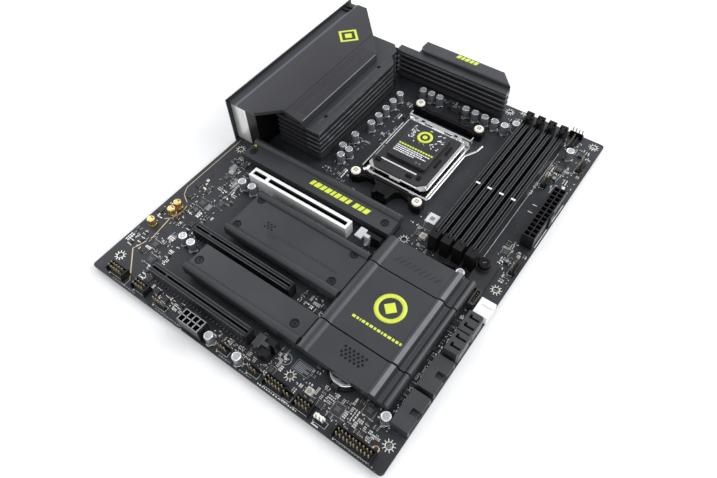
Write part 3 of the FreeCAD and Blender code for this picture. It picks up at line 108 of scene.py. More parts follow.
class Finish:
    """A node material: mottled colour, mottled roughness and a fine grain in the bump."""

    def __init__(self, name, colour, rough=0.5, metal=0.0, vary=0.15, blotch=60.0, grain=2500.0,
                 bump=0.08, stretch=(1, 1, 1), coat=0.0, specular=0.5, rough_vary=0.12):
        self.material = bpy.data.materials.new(name)
        self.material.use_nodes = True
        self.tree = self.material.node_tree
        self.shader = self.tree.nodes["Principled BSDF"]
        self.shader.inputs["Metallic"].default_value = metal
        self.shader.inputs["Coat Weight"].default_value = coat
        self.shader.inputs["Coat Roughness"].default_value = 0.15
        self.shader.inputs["Specular IOR Level"].default_value = specular
        self.place = self.node("ShaderNodeTexCoord").outputs["Object"]
        stretched = self.node("ShaderNodeMapping")
        stretched.inputs["Scale"].default_value = stretch
        self.link(self.place, stretched.inputs["Vector"])
        self.stretched = stretched.outputs["Vector"]
        mottle = self.noise(blotch, 4.0, self.stretched)
        dark = tuple(c * (1 - vary) for c in colour)
        light = tuple(min(1.0, c * (1 + vary)) for c in colour)
        self.paint = self.ramp(mottle, ((0.3, dark), (0.7, light)))
        self.link(self.paint, self.shader.inputs["Base Color"])
        fine = self.noise(grain, 2.0, self.stretched)
        spread = self.node("ShaderNodeMapRange")
        spread.inputs["To Min"].default_value = max(0.03, rough - rough_vary)
        spread.inputs["To Max"].default_value = min(1.0, rough + rough_vary)
        average = self.both(self.both(mottle, fine, "ADD"), 0.5)
        self.link(average, spread.inputs["Value"])
        self.link(spread.outputs["Result"], self.shader.inputs["Roughness"])
        self.bump = self.node("ShaderNodeBump")
        self.bump.inputs["Strength"].default_value = bump
        self.bump.inputs["Distance"].default_value = 0.0002
        self.height = fine
        self.link(fine, self.bump.inputs["Height"])
        self.link(self.bump.outputs["Normal"], self.shader.inputs["Normal"])

    def node(self, kind, **settings):
        made = self.tree.nodes.new(kind)
        for key, value in settings.items():
            setattr(made, key, value)
        return made

    def link(self, a, b):
        self.tree.links.new(a, b)

    def noise(self, scale, detail, place):
        made = self.node("ShaderNodeTexNoise")
        made.inputs["Scale"].default_value = scale
        made.inputs["Detail"].default_value = detail
        self.link(place, made.inputs["Vector"])
        return made.outputs["Fac"]

    def ramp(self, value, stops):
        made = self.node("ShaderNodeValToRGB")
        while len(made.color_ramp.elements) < len(stops):
            made.color_ramp.elements.new(0.5)
        for element, (place, shade) in zip(made.color_ramp.elements, stops):
            element.position = place
            element.color = (*shade, 1.0)
        self.link(value, made.inputs["Fac"])
        return made.outputs["Color"]

    def bands(self, angle, scale, low, high):
        """A mask of parallel bands: 1 inside a band, 0 between bands."""
        turned = self.node("ShaderNodeMapping")
        turned.inputs["Rotation"].default_value = (0, 0, angle)
        self.link(self.place, turned.inputs["Vector"])
        wave = self.node("ShaderNodeTexWave", wave_profile="SIN", bands_direction="X")
        wave.inputs["Scale"].default_value = scale
        self.link(turned.outputs["Vector"], wave.inputs["Vector"])
        return self.ramp(wave.outputs["Fac"], ((low, (0, 0, 0)), (high, (1, 1, 1))))

    def cells(self, scale, output="Distance"):
        made = self.node("ShaderNodeTexVoronoi")
        made.inputs["Scale"].default_value = scale
        self.link(self.place, made.inputs["Vector"])
        return made.outputs[output]

    def both(self, a, b, operation="MULTIPLY"):
        """Two values or outputs put through one sum."""
        made = self.node("ShaderNodeMath", operation=operation)
        for socket, value in zip(made.inputs, (a, b)):
            if isinstance(value, float):
                socket.default_value = value
            else:
                self.link(value, socket)
        return made.outputs[0]

    def tint(self, mask, shade):
        """Paint a shade over the colour where the mask is 1."""
        mix = self.node("ShaderNodeMix", data_type="RGBA")
        self.link(mask, mix.inputs["Factor"])
        self.link(self.paint, mix.inputs["A"])
        mix.inputs["B"].default_value = (*shade, 1.0)
        self.paint = mix.outputs["Result"]
        self.link(self.paint, self.shader.inputs["Base Color"])

    def within(self, axis, low, high, soft=0.0001):
        """A mask that is 1 where a coordinate of the frame lies between two limits in metres."""
        split = self.node("ShaderNodeSeparateXYZ")
        self.link(self.place, split.inputs["Vector"])
        masks = []
        for start, end in ((low - soft, low), (high + soft, high)):
            made = self.node("ShaderNodeMapRange")
            made.inputs["From Min"].default_value = start
            made.inputs["From Max"].default_value = end
            self.link(split.outputs[axis], made.inputs["Value"])
            masks.append(made.outputs["Result"])
        return self.both(*masks)

    def raise_by(self, mask, amount):
        """Add a share of a mask to the bump height."""
        self.height = self.both(self.height, self.both(mask, amount), "ADD")
        self.link(self.height, self.bump.inputs["Height"])


def sides_mask(finish):
    """1 on faces that stand upright, 0 on faces that lie level."""
    geometry = finish.node("ShaderNodeNewGeometry")
    split = finish.node("ShaderNodeSeparateXYZ")
    finish.link(geometry.outputs["True Normal"], split.inputs["Vector"])
    level = finish.node("ShaderNodeMath", operation="ABSOLUTE")
    finish.link(split.outputs["Z"], level.inputs[0])
    return finish.both(level.outputs[0], 0.5, "LESS_THAN")


def board_finish():
    """Solder mask over copper runs, with vias, and bare laminate on the cut edge."""
    made = Finish("board_mask", (0.0240, 0.0258, 0.0295), rough=0.45, vary=0.14, blotch=38.0,
                  grain=1800.0, bump=0.05, specular=0.3)
    patch = made.cells(55.0, output="Color")
    split = made.node("ShaderNodeSeparateColor")
    made.link(patch, split.inputs["Color"])
    along = made.both(split.outputs["Red"], 0.62, "GREATER_THAN")
    across = made.both(split.outputs["Green"], 0.68, "GREATER_THAN")
    slanted = made.both(split.outputs["Blue"], 0.74, "GREATER_THAN")
    quarter = math.pi / 4
    for mask, angle in ((along, 0.0), (across, 2 * quarter), (slanted, quarter)):
        runs = made.bands(angle, 175.0, 0.55, 0.7)
        lines = made.both(mask, runs)
        made.tint(lines, (0.033, 0.0355, 0.042))
        made.raise_by(lines, 0.35)
    dots = made.both(made.cells(330.0), 0.13, "LESS_THAN")
    sparse = made.both(made.noise(110.0, 2.0, made.place), 0.56, "GREATER_THAN")
    made.tint(made.both(dots, sparse), (0.12, 0.12, 0.11))
    made.tint(sides_mask(made), (0.060, 0.056, 0.036))
    return made


# Base colour, roughness, metal, colour spread, blotch scale, grain scale and bump of each look.
LOOKS = {
    "cover": ((0.047, 0.047, 0.052), 0.4, 0.5, 0.08, 25, 3800, 0.1),
    "heatsink": ((0.056, 0.057, 0.062), 0.38, 0.55, 0.1, 30, 4200, 0.1),
    "brushed": ((0.085, 0.086, 0.094), 0.36, 0.6, 0.14, 160, 1500, 0.12),
    "steel": ((0.66, 0.66, 0.65), 0.17, 1.0, 0.06, 180, 2200, 0.05),
    "dark_steel": ((0.028, 0.028, 0.031), 0.34, 0.35, 0.2, 60, 3200, 0.12),
    "black_plastic": ((0.005, 0.005, 0.0055), 0.33, 0.0, 0.25, 120, 2600, 0.12),
    "gloss_plastic": ((0.0035, 0.0035, 0.004), 0.2, 0.0, 0.25, 120, 2600, 0.03),
    "slot_plastic": ((0.0045, 0.0045, 0.005), 0.34, 0.0, 0.2, 80, 1500, 0.08),
    "cap_plastic": ((0.016, 0.016, 0.018), 0.36, 0.0, 0.2, 90, 2400, 0.1),
    "white_plastic": ((0.86, 0.86, 0.84), 0.42, 0.0, 0.04, 90, 2400, 0.08),
    "grey_plastic": ((0.036, 0.0365, 0.04), 0.38, 0.0, 0.12, 90, 2400, 0.1),
    "port_metal": ((0.74, 0.71, 0.64), 0.24, 1.0, 0.08, 150, 1900, 0.06),
    "gold": ((0.86, 0.62, 0.26), 0.24, 1.0, 0.1, 400, 3000, 0.04),
    "ferrite": ((0.075, 0.075, 0.078), 0.62, 0.0, 0.2, 300, 2600, 0.3),
    "pad": ((0.3, 0.32, 0.38), 0.72, 0.0, 0.1, 200, 1800, 0.3),
    "can": ((0.17, 0.175, 0.19), 0.2, 0.35, 0.2, 200, 3000, 0.04),
    "gold_can": ((0.66, 0.47, 0.2), 0.26, 0.9, 0.08, 300, 2400, 0.05),
    "chip": ((0.022, 0.022, 0.024), 0.55, 0.0, 0.2, 500, 5200, 0.35),
    "cell": ((0.7, 0.7, 0.69), 0.22, 1.0, 0.06, 150, 1300, 0.05),
    "screw": ((0.8, 0.77, 0.68), 0.26, 0.9, 0.07, 500, 2600, 0.06),
    "dark_screw": ((0.035, 0.035, 0.038), 0.3, 0.7, 0.15, 500, 2600, 0.08),
    "tin": ((0.8, 0.79, 0.76), 0.3, 1.0, 0.12, 700, 1500, 0.12),
    "pale_ceramic": ((0.44, 0.39, 0.32), 0.48, 0.0, 0.18, 600, 2600, 0.1),
    "dark_part": ((0.018, 0.018, 0.02), 0.4, 0.0, 0.2, 600, 2600, 0.1),
    "silk": ((0.8, 0.82, 0.84), 0.6, 0.0, 0.06, 500, 3400, 0.15),
    "silk_grey": ((0.25, 0.28, 0.31), 0.6, 0.0, 0.1, 400, 3400, 0.15),
    "lime": ((0.62, 0.72, 0.055), 0.45, 0.0, 0.05, 300, 3400, 0.08),
    "dull_print": ((0.17, 0.175, 0.185), 0.5, 0.0, 0.08, 300, 3400, 0.08),
    "dark_print": ((0.02, 0.02, 0.024), 0.35, 0.0, 0.1, 300, 3400, 0.05),
    "copper": ((0.55, 0.36, 0.22), 0.34, 0.8, 0.12, 500, 2400, 0.06),
    "red_plastic": ((0.42, 0.022, 0.018), 0.36, 0.0, 0.1, 200, 2600, 0.06),
    "blue_plastic": ((0.02, 0.09, 0.42), 0.36, 0.0, 0.1, 200, 2600, 0.06),
    "cream": ((0.9, 0.88, 0.8), 0.34, 0.0, 0.05, 300, 2600, 0.06),
    "star": ((0.84, 0.81, 0.74), 0.34, 0.6, 0.12, 700, 1500, 0.1),
    "tan": ((0.5, 0.39, 0.26), 0.38, 0.5, 0.1, 500, 1500, 0.1),
    "pale_part": ((0.56, 0.5, 0.42), 0.5, 0.0, 0.1, 500, 2600, 0.1),
    "brass": ((0.4, 0.29, 0.14), 0.3, 0.9, 0.1, 500, 2600, 0.06),
    "can_top": ((0.82, 0.83, 0.85), 0.24, 0.9, 0.05, 500, 2600, 0.05),
    "rib": ((0.06, 0.061, 0.066), 0.35, 0.0, 0.1, 300, 2600, 0.06),
    "rim": ((0.33, 0.34, 0.36), 0.35, 0.0, 0.1, 300, 2600, 0.06),
    "cover_mark": ((0.03, 0.03, 0.036), 0.34, 0.4, 0.08, 90, 3400, 0.05),
    # Plain lighter grey for lines on the left VRM heatsink, also used as painted highlight on the chipset
    # heatsink ridges.
    "tone": ((0.085, 0.088, 0.098), 0.3, 0.6, 0.08, 90, 3400, 0.05),
    "lime_plastic": ((0.3, 0.42, 0.04), 0.36, 0.0, 0.1, 200, 2600, 0.06),
    "pale_grip": ((0.62, 0.63, 0.65), 0.3, 0.4, 0.1, 200, 2600, 0.06),
    "armour": ((0.93, 0.93, 0.92), 0.42, 0.45, 0.05, 180, 2200, 0.05),
    "port_wall": ((0.84, 0.83, 0.8), 0.32, 0.6, 0.22, 420, 1900, 0.06),
    # Near-black: painted shade in the cover crease, the cover slits and round the heatsink screws; also used
    # for marks on the load plate.
    "deep": ((0.0045, 0.0045, 0.005), 0.5, 0.0, 0.2, 300, 3400, 0.06),
    # Light grey painted highlight lines along the tops of the slots.
    "slot_edge_highlight": ((0.15, 0.154, 0.165), 0.4, 0.0, 0.1, 300, 2600, 0.06),
    "contact": ((0.05, 0.042, 0.028), 0.4, 0.6, 0.15, 400, 3000, 0.05),
    "pin": ((0.42, 0.36, 0.24), 0.42, 0.8, 0.12, 400, 3000, 0.05),
    # Light grey painted highlight lines along fin edges and the cover lip edge.
    "painted_edge_highlight": ((0.27, 0.275, 0.29), 0.36, 0.4, 0.15, 90, 2600, 0.06),
    # Light grey painted highlight along the chipset heatsink ridges.
    "band": ((0.2, 0.205, 0.215), 0.34, 0.3, 0.08, 90, 2600, 0.06),
    "can_face": ((0.42, 0.43, 0.45), 0.3, 0.4, 0.1, 300, 2600, 0.05),
}
# Settings that only some looks have.
EXTRAS = {
    "cover": {"coat": 0.05},
    "brushed": {"stretch": (0.06, 1, 1)},
    "steel": {"stretch": (1, 0.12, 1), "rough_vary": 0.1},
    "black_plastic": {"specular": 0.35},
    "gloss_plastic": {"specular": 0.22, "rough_vary": 0.06},
    "slot_plastic": {"stretch": (1, 0.1, 1), "specular": 0.3},
    "can": {"coat": 0.4, "rough_vary": 0.06},
    "cell": {"stretch": (1, 0.2, 1)},
    "cream": {"coat": 0.2},
    "armour": {"stretch": (1, 0.12, 1)},
    "port_wall": {"stretch": (1, 1, 0.06)},
    "deep": {"specular": 0.2},
}
looks = {name: Finish(name + "_look", *row, **EXTRAS.get(name, {})) for name, row in LOOKS.items()}
looks["board"] = board_finish()

# Stretches across the rear edge, in metres of the frame: low X, high X and how softly they end. The jack
# block gets a painted shadow there, and the cover's rear band a painted bluish highlight.
JACK_SHADOW = (-0.1082, -0.0900, 0.0003)
COVER_PAINTED_HIGHLIGHT = (-0.1149, -0.1130, 0.0012)
for look, stretch, shade in (("port_wall", JACK_SHADOW, (0.009, 0.009, 0.010)),
                             ("cover", COVER_PAINTED_HIGHLIGHT, (0.125, 0.135, 0.165))):
    looks[look].tint(looks[look].within("X", *stretch), shade)

# Look and edge rounding in millimetres of each CAD node.
NODE_LOOKS = {
    "pcb": ("board", 0.12), "io_shield": ("dark_steel", 0.15), "usb_and_video_ports": ("port_metal", 0.2),
    "lan_port": ("port_metal", 0.2), "antenna_jacks": ("gold", 0.1), "audio_jack_block": ("port_wall", 0.2),
    "settings_button": ("black_plastic", 0.1), "firmware_button": ("black_plastic", 0.1),
    "button_switches": ("black_plastic", 0.2), "io_cover": ("cover", 0.45),
    "vrm_heatsink_left": ("heatsink", 0.3), "vrm_heatsink_top": ("heatsink", 0.3),
    "vrm_inductors": ("ferrite", 0.3), "thermal_pads": ("pad", 0.2), "integrated_circuits": ("chip", 0.08),
    "socket_body": ("black_plastic", 0.15), "socket_frame": ("steel", 0.15),
    "socket_load_plate": ("steel", 0.25), "socket_lever": ("steel", 0.0), "socket_cap": ("cap_plastic", 0.12),
    "cooler_brackets": ("gloss_plastic", 0.5), "bracket_screws": ("screw", 0.1),
    "socket_backplate": ("dark_steel", 0.3), "pcie_slot_1": ("slot_plastic", 0.15),
    "pcie_slot_1_armour": ("armour", 0.25), "pcie_latch_1": ("pale_grip", 0.2),
    "pcie_slot_2": ("slot_plastic", 0.25), "pcie_slot_3": ("slot_plastic", 0.25),
    "pcie_latch_3": ("grey_plastic", 0.2), "release_base": ("cap_plastic", 0.3),
    "release_button": ("gloss_plastic", 0.1), "release_linkage": ("black_plastic", 0.15),
    "m2_heatsink_top": ("heatsink", 0.3), "m2_heatsink_middle": ("heatsink", 0.3),
    "m2_heatsink_lower": ("heatsink", 0.3), "chipset_heatsink_upper": ("heatsink", 0.3),
    "chipset_heatsink_centre": ("heatsink", 0.3), "chipset_heatsink_lower": ("heatsink", 0.3),
    "heatsink_fasteners": ("dark_screw", 0.08), "m2_sockets": ("black_plastic", 0.15),
    "polymer_capacitors": ("can", 0.2), "audio_capacitors": ("gold_can", 0.0), "coin_cell": ("cell", 0.0),
    "coin_cell_holder": ("black_plastic", 0.2), "atx_power_connector": ("black_plastic", 0.15),
    "cpu_power_connectors": ("black_plastic", 0.15), "pcie_power_connector": ("black_plastic", 0.15),
    "sata_connectors": ("grey_plastic", 0.25), "usb_headers": ("grey_plastic", 0.25),
    "edge_fan_connector": ("white_plastic", 0.25), "pin_header_bases": ("black_plastic", 0.12),
    "pin_header_pins": ("pin", 0.06),
}
for number in "1234":
    NODE_LOOKS["dimm_slot_" + number] = ("slot_plastic", 0.2)
    NODE_LOOKS["dimm_latch_" + number] = ("black_plastic", 0.15)


def rounded_edges(piece, width):
    """Joined corners and a small rounding, so that edges catch the light."""
    weld = piece.modifiers.new("weld", "WELD")
    weld.merge_threshold = 2e-6
    bevel = piece.modifiers.new("bevel", "BEVEL")
    bevel.width = width * MM
    bevel.segments = 2
    bevel.limit_method = "ANGLE"
    bevel.angle_limit = math.radians(35)
    bevel.harden_normals = True
    bevel.use_clamp_overlap = True


def finish_node(name, look, width):
    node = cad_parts[name]
    for slot in node.material_slots:
        slot.material = looks[look].material
    if width > 0:
        if "custom_normal" in node.data.attributes:
            node.data.attributes.remove(node.data.attributes["custom_normal"])
        node.data.polygons.foreach_set("use_smooth", [True] * len(node.data.polygons))
        rounded_edges(node, width)


for node_name, (look_name, edge) in NODE_LOOKS.items():
    finish_node(node_name, look_name, edge)


# ---------------------------------------------------------------- mesh maker

class Mesh:
    """Faces gathered in board millimetres; each face has a look."""

    def __init__(self, *look_names):
        self.looks = list(look_names)
        self.points, self.faces, self.kinds = [], [], []
        self.smooth = []

    def add(self, points, faces, kind=0, smooth=False):
        start = len(self.points)
        self.points += points
        self.faces += [[start + i for i in face] for face in faces]
        self.kinds += [kind] * len(faces)
        self.smooth += [smooth] * len(faces)

    def box(self, x0, x1, y0, y1, z0, z1, kind=0):
        points = [(x, y, z) for z in (z0, z1) for x, y in ((x0, y0), (x1, y0), (x1, y1), (x0, y1))]
        self.add(points, [(3, 2, 1, 0), (4, 5, 6, 7), (0, 1, 5, 4), (1, 2, 6, 5), (2, 3, 7, 6),
                          (3, 0, 4, 7)], kind)

    def post(self, x, y, half_x, half_y, z0, z1, kind=0):
        """Upright block about a centre."""
        self.box(x - half_x, x + half_x, y - half_y, y + half_y, z0, z1, kind)

    def slab(self, outline, z0, z1, kind=0):
        """Upright prism over a flat outline, given anticlockwise."""
        n = len(outline)
        points = [(x, y, z0) for x, y in outline] + [(x, y, z1) for x, y in outline]
        faces = [tuple(reversed(range(n))), tuple(range(n, 2 * n))]
        faces += [(i, (i + 1) % n, n + (i + 1) % n, n + i) for i in range(n)]
        self.add(points, faces, kind)

    def bar(self, x, y, length, width, angle, z0, z1, kind=0):
        """Flat bar about a centre, turned by an angle in degrees."""
        c, s = math.cos(math.radians(angle)), math.sin(math.radians(angle))
        corners = ((-length, -width), (length, -width), (length, width), (-length, width))
        self.slab([(x + c * u / 2 - s * v / 2, y + s * u / 2 + c * v / 2) for u, v in corners],
                  z0, z1, kind)

    def line(self, path, width, z0, z1, kind=0):
        """Flat strip along a path."""
        left, right = [], []
        for i, (x, y) in enumerate(path):
            ax, ay = path[max(i - 1, 0)]
            bx, by = path[min(i + 1, len(path) - 1)]
            length = math.hypot(bx - ax, by - ay) or 1.0
            nx, ny = (ay - by) / length * width / 2, (bx - ax) / length * width / 2
            left.append((x + nx, y + ny))
            right.append((x - nx, y - ny))
        for i in range(len(path) - 1):
            self.slab([right[i], right[i + 1], left[i + 1], left[i]], z0, z1, kind)

    def turned(self, x, y, rings, kind=0, sides=24, around="z", ends=True):
        """Surface of revolution through (radius, height) rings, about an upright or X axis."""
        points = []
        for radius, height in rings:
            for k in range(sides):
                a = 2 * math.pi * k / sides
                u, v = radius * math.cos(a), radius * math.sin(a)
                points.append((x + u, y + v, height) if around == "z" else (height, x + u, y + v))
        faces = []
        for r in range(len(rings) - 1):
            for k in range(sides):
                a, b = r * sides + k, r * sides + (k + 1) % sides
                faces.append((a, b, b + sides, a + sides))
        self.add(points, faces, kind, True)
        if ends:
            last = (len(rings) - 1) * sides
            self.add(points[:sides], [tuple(reversed(range(sides)))], kind)
            self.add(points[last:], [tuple(range(sides))], kind)

    def ring(self, x, y, inner, outer, z0, z1, kind=0, sides=32):
        rings = ((inner, z0), (outer, z0), (outer, z1), (inner, z1), (inner, z0))
        self.turned(x, y, rings, kind, sides, ends=False)

    def build(self, name, body=ROOT, rounding=0.0):
        data = bpy.data.meshes.new(name)
        data.from_pydata([in_frame(*p) for p in self.points], [], self.faces)
        for look in self.looks:
            data.materials.append(looks[look].material)
        data.polygons.foreach_set("material_index", self.kinds)
        data.polygons.foreach_set("use_smooth", self.smooth)
        data.update()
        piece = bpy.data.objects.new(name, data)
        bpy.context.scene.collection.objects.link(piece)
        if rounding > 0:
            rounded_edges(piece, rounding)
            data.polygons.foreach_set("use_smooth", [True] * len(data.polygons))
        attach(piece, body)
        return piece


# ---------------------------------------------------------------- places on the board

# Thickness of printed ink, of bare metal, and of thinner prints on a part's own face.
PRINT, FLAT, THIN, HAIR = 0.05, 0.04, 0.03, 0.02
STRIP_TOP, CHIPSET_TOP, CHIPSET_RAMP = 10.6, 12.0, 13.6
DIMM_TOP, DIMM_TOWER, CARD_TOP = 12.0, 9.0, 11.2
SOCKET_X, SOCKET_Y = 130.6, 213.4


def taken(x0, x1, y0, y1, boxes, margin=0.3):
    return any(x0 < b[1] + margin and x1 > b[0] - margin and y0 < b[3] + margin and y1 > b[2] - margin
               for b in boxes)


ON_BOARD = ("polymer_capacitors", "pin_header_bases", "integrated_circuits", "audio_capacitors",
            "atx_power_connector", "cpu_power_connectors", "pcie_power_connector", "sata_connectors",
            "usb_headers", "edge_fan_connector", "coin_cell_holder", "pcie_slot_1", "pcie_slot_2",
            "pcie_slot_3", "dimm_slot_1", "dimm_slot_2", "dimm_slot_3", "dimm_slot_4", "release_base",
            "socket_body", "m2_sockets", "vrm_inductors", "lan_port", "audio_jack_block",
            "usb_and_video_ports", "heatsink_fasteners")
FOOTPRINTS = {node: [b for b in solids_of(node) if b[4] < 1.0] for node in ON_BOARD}
OCCUPIED = [box for boxes in FOOTPRINTS.values() for box in boxes]
OCCUPIED.append(board_box("socket_frame"))
STANDOFFS = [(x, y) for y in (16.51, 140.97) for x in (10.16, 165.1, 237.49)]
STANDOFFS += [(33.02, 298.45), (165.1, 298.45), (237.49, 298.45)]
OCCUPIED += [(x - 5.5, x + 5.5, y - 5.5, y + 5.5, 0, 0) for x, y in STANDOFFS]
for node in ("cooler_brackets", "bracket_screws"):
    OCCUPIED += solids_of(node)


def top_at(node, x, y):
    """Height of a CAD node's top surface over one place, in board millimetres."""
    hit, place, _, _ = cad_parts[node].ray_cast(Vector(in_frame(x, y, 90.0)), Vector((0, 0, -1)))
    return place.z / MM - BOARD_TOP if hit else 0.0


def longest(node):
    """Limits of the longest solid of a node, such as a slot without its latch fork."""
    return max(FOOTPRINTS[node], key=lambda b: max(b[1] - b[0], b[3] - b[2]))


def centres(boxes):
    """Middle in X and Y, and the top, of each box."""
    return [((b[0] + b[1]) / 2, (b[2] + b[3]) / 2, b[5]) for b in boxes]


POWER_PITCH = 4.2
# Columns and rows of pins, and the ledge that is left out at high X and high Y.
POWER_GRIDS = {"atx_power_connector": (2, 12, 1.4, 0.0), "pcie_power_connector": (4, 2, 0.0, 1.4),
               "cpu_power_connectors": (4, 2, 0.0, 0.0)}


def power_grids(node):
    """Limits without the ledge, top and pin places of each power connector of a node."""
    columns, rows, ledge_x, ledge_y = POWER_GRIDS[node]
    grids = []
    for x0, x1, y0, y1, _, top in FOOTPRINTS[node]:
        x1, y1 = x1 - ledge_x, y1 - ledge_y
        x, y = (x0 + x1) / 2, (y0 + y1) / 2
        pins = [(x + (i - (columns - 1) / 2) * POWER_PITCH, y + (j - (rows - 1) / 2) * POWER_PITCH)
                for i in range(columns) for j in range(rows)]
        grids.append((x0, x1, y0, y1, top, pins))
    return grids


def circle_points(x, y, radius, sides, start=0.0):
    return [(x + radius * math.cos(start + 2 * math.pi * k / sides),
             y + radius * math.sin(start + 2 * math.pi * k / sides)) for k in range(sides)]


# ---------------------------------------------------------------- board surface

def star_pads():
    """Plated ring and short rays round each standoff hole, on both sides of the board."""
    pads = Mesh("tin", "star")
    for x, y in STANDOFFS:
        for low, high in ((0.0, FLAT), (-THICK - FLAT, -THICK)):
            pads.ring(x, y, 2.02, 2.45, low, high, 1)
            for k in range(10):
                a = 2 * math.pi * (k + 0.5) / 10
                reach = 2.85 if k % 2 else 2.7
                pads.bar(x + reach * math.cos(a), y + reach * math.sin(a), 1.4, 0.55, math.degrees(a),
                         low, high + 0.02 * (low == 0.0), 1)
                pads.turned(x + 3.8 * math.cos(a), y + 3.8 * math.sin(a),
                            ((0.34, low), (0.34, high), (0.2, high + 0.05 * (low == 0.0))), 0, 8)
    pads.build("standoff_pads")


def frame_lines(mesh, x0, x1, y0, y1, width, kind=0, gap=0.5):
    """Printed rectangle outline round a footprint."""
    x0, x1, y0, y1 = x0 - gap, x1 + gap, y0 - gap, y1 + gap
    for sides in ((x0, x1, y0, y0 + width), (x0, x1, y1 - width, y1), (x0, x0 + width, y0, y1),
                  (x1 - width, x1, y0, y1)):
        mesh.box(*sides, 0.0, PRINT, kind)


def on_the_board(x0, x1, y0, y1):
    return x0 > 0.6 and x1 < BOARD_WIDTH - 0.6 and y0 > 0.6 and y1 < BOARD_LENGTH - 0.6


def silkscreen():
    """Outlines, rings, ticks and short bars printed on the board, and light lines beside the memory slots
    that are painted highlights.
    """
    ink = Mesh("silk", "silk_grey")
    for x, y, _ in centres(FOOTPRINTS["polymer_capacitors"]):
        ink.ring(x, y, 3.45, 3.75, 0.0, PRINT, 0, 28)
        ink.slab(circle_points(x, y, 3.5, 14, 0.4)[:8], 0.0, PRINT * 0.6, 1)
    for node, kind in (("pin_header_bases", 0), ("atx_power_connector", 0), ("pcie_power_connector", 0),
                       ("usb_headers", 1), ("sata_connectors", 1)):
        for x0, x1, y0, y1, _, _ in FOOTPRINTS[node]:
            if on_the_board(x0 - 0.7, x1 + 0.7, y0 - 0.7, y1 + 0.7):
                frame_lines(ink, x0, x1, y0, y1, 0.2, kind, 0.7)
            ink.box(x0 - 0.2, x0 + 0.9, y0 - 1.5, y0 - 0.9, 0.0, PRINT, 0)
    for x0, x1, y0, y1, _, _ in FOOTPRINTS["integrated_circuits"]:
        if x1 - x0 < 9 and y0 > 5 and not 290 < y0:
            for x, y, sx, sy in ((x0, y0, 1, 1), (x1, y0, -1, 1), (x1, y1, -1, -1), (x0, y1, 1, -1)):
                x, y = x - 1.3 * sx, y - 1.3 * sy
                ink.box(min(x, x + 1.1 * sx), max(x, x + 1.1 * sx), y - 0.08, y + 0.08, 0.0, PRINT)
                ink.box(x - 0.08, x + 0.08, min(y, y + 1.1 * sy), max(y, y + 1.1 * sy), 0.0, PRINT)
    for node in ("pcie_slot_2", "pcie_slot_3"):
        x0, x1, y0, y1 = longest(node)[:4]
        ink.box(x0 - 1.2, x0 - 0.9, y0 - 0.8, y1 + 0.8, 0.0, PRINT)
        ink.box(x0, x1, y1 + 0.5, y1 + 0.7, 0.0, PRINT, 1)
    # Light lines beside each memory slot: painted highlights along the slot sides.
    for number in range(4):
        x0, x1, y0, y1 = longest("dimm_slot_%d" % (number + 1))[:4]
        last = number == 3
        ink.box(x1 + 0.9, x1 + (1.15 if last else 1.3), y0 + 14, y1 - 12, 0.0, PRINT, 0 if last else 1)
    # rows of bars in place of the printed legends along the edges
    rows = ((62, 0.9, 30, 1), (120, 1.0, 26, 1), (152, 1.0, 30, 0), (212, 0.9, 24, 1), (20, 1.0, 22, 1))
    for x, y, length, kind in rows:
        end = x + length
        while x < end:
            wide = random.uniform(0.5, 1.5)
            if not taken(x, x + wide, y, y + 0.8, OCCUPIED, 0.1):
                ink.box(x, x + wide, y, y + 0.8, 0.0, PRINT, kind)
            x += wide + 0.8
    # single bars: centre, size and ink
    for x, y, wide, deep, kind in (
            (172.0, 1.7, 6.0, 1.2, 0), (196.0, 1.3, 5.0, 0.8, 0), (92.0, 11.9, 5.0, 0.8, 0),
            (236.0, 245.3, 2.0, 6.6, 0), (226.1, 212.8, 3.4, 0.9, 0), (226.1, 220.4, 3.4, 0.9, 0),
            (229.4, 240.0, 1.0, 6.0, 1), (217.4, 235.8, 3.4, 0.8, 0), (217.4, 231.6, 3.4, 0.8, 0),
            (30.5, 102.0, 4.0, 0.8, 1), (59.5, 62.2, 3.4, 2.6, 0), (61.5, 118.0, 3.0, 2.4, 0)):
        ink.post(x, y, wide / 2, deep / 2, 0.0, PRINT, kind)
    for y in (239.2, 229.2):
        ink.ring(216.6, y, 1.9, 2.5, 0.0, PRINT, 0, 24)
        ink.box(215.0, 218.2, y - 0.25, y + 0.25, 0.0, PRINT, 0)
    # box of stripes and the outlined sign beside it
    x0, y0 = 162.4, 20.8
    frame_lines(ink, x0, x0 + 12.4, y0, y0 + 7.6, 0.3, 1, 0.0)
    for row in range(6):
        ink.box(x0 + 1.0, x0 + (11.2 if row % 3 else 8.0), y0 + 1.0 + row, y0 + 1.55 + row, 0.0, PRINT, 1)
    ink.ring(155.9, 23.4, 3.5, 4.1, 0.0, PRINT, 1, 36)
    ink.turned(155.9, 23.4, ((1.0, 0.0), (1.0, PRINT)), 0, 20)
    # line round the processor area and beside the long connector
    ink.line([(166.5, 172), (170.5, 157.5), (180.4, 157.5)], 0.25, 0.0, PRINT, 1)
    ink.box(BOARD_WIDTH - 1.3, BOARD_WIDTH - 0.8, 186.0, 232.0, 0.0, PRINT, 0)
    ink.build("silkscreen")


def gold_line():
    """Bare track that bounds the audio corner, and the loop round its capacitors."""
    track = Mesh("tan")
    track.line([(3.4, 148.0), (3.4, 88.0), (7.0, 81.5), (14.1, 77.5)], 0.6, 0.0, FLAT)
    track.line([(16.4, 75.0), (17.6, 70.0), (17.0, 64.0), (15.2, 60.2), (11.5, 57.0)], 0.7, 0.0, FLAT)
    track.line([(14.6, 60.0), (17.2, 40.7), (14.3, 30.1), (12.7, 25.8), (31.5, 6.5), (31.4, 1.0)], 0.8,
               0.0, FLAT)
    track.build("audio_track")


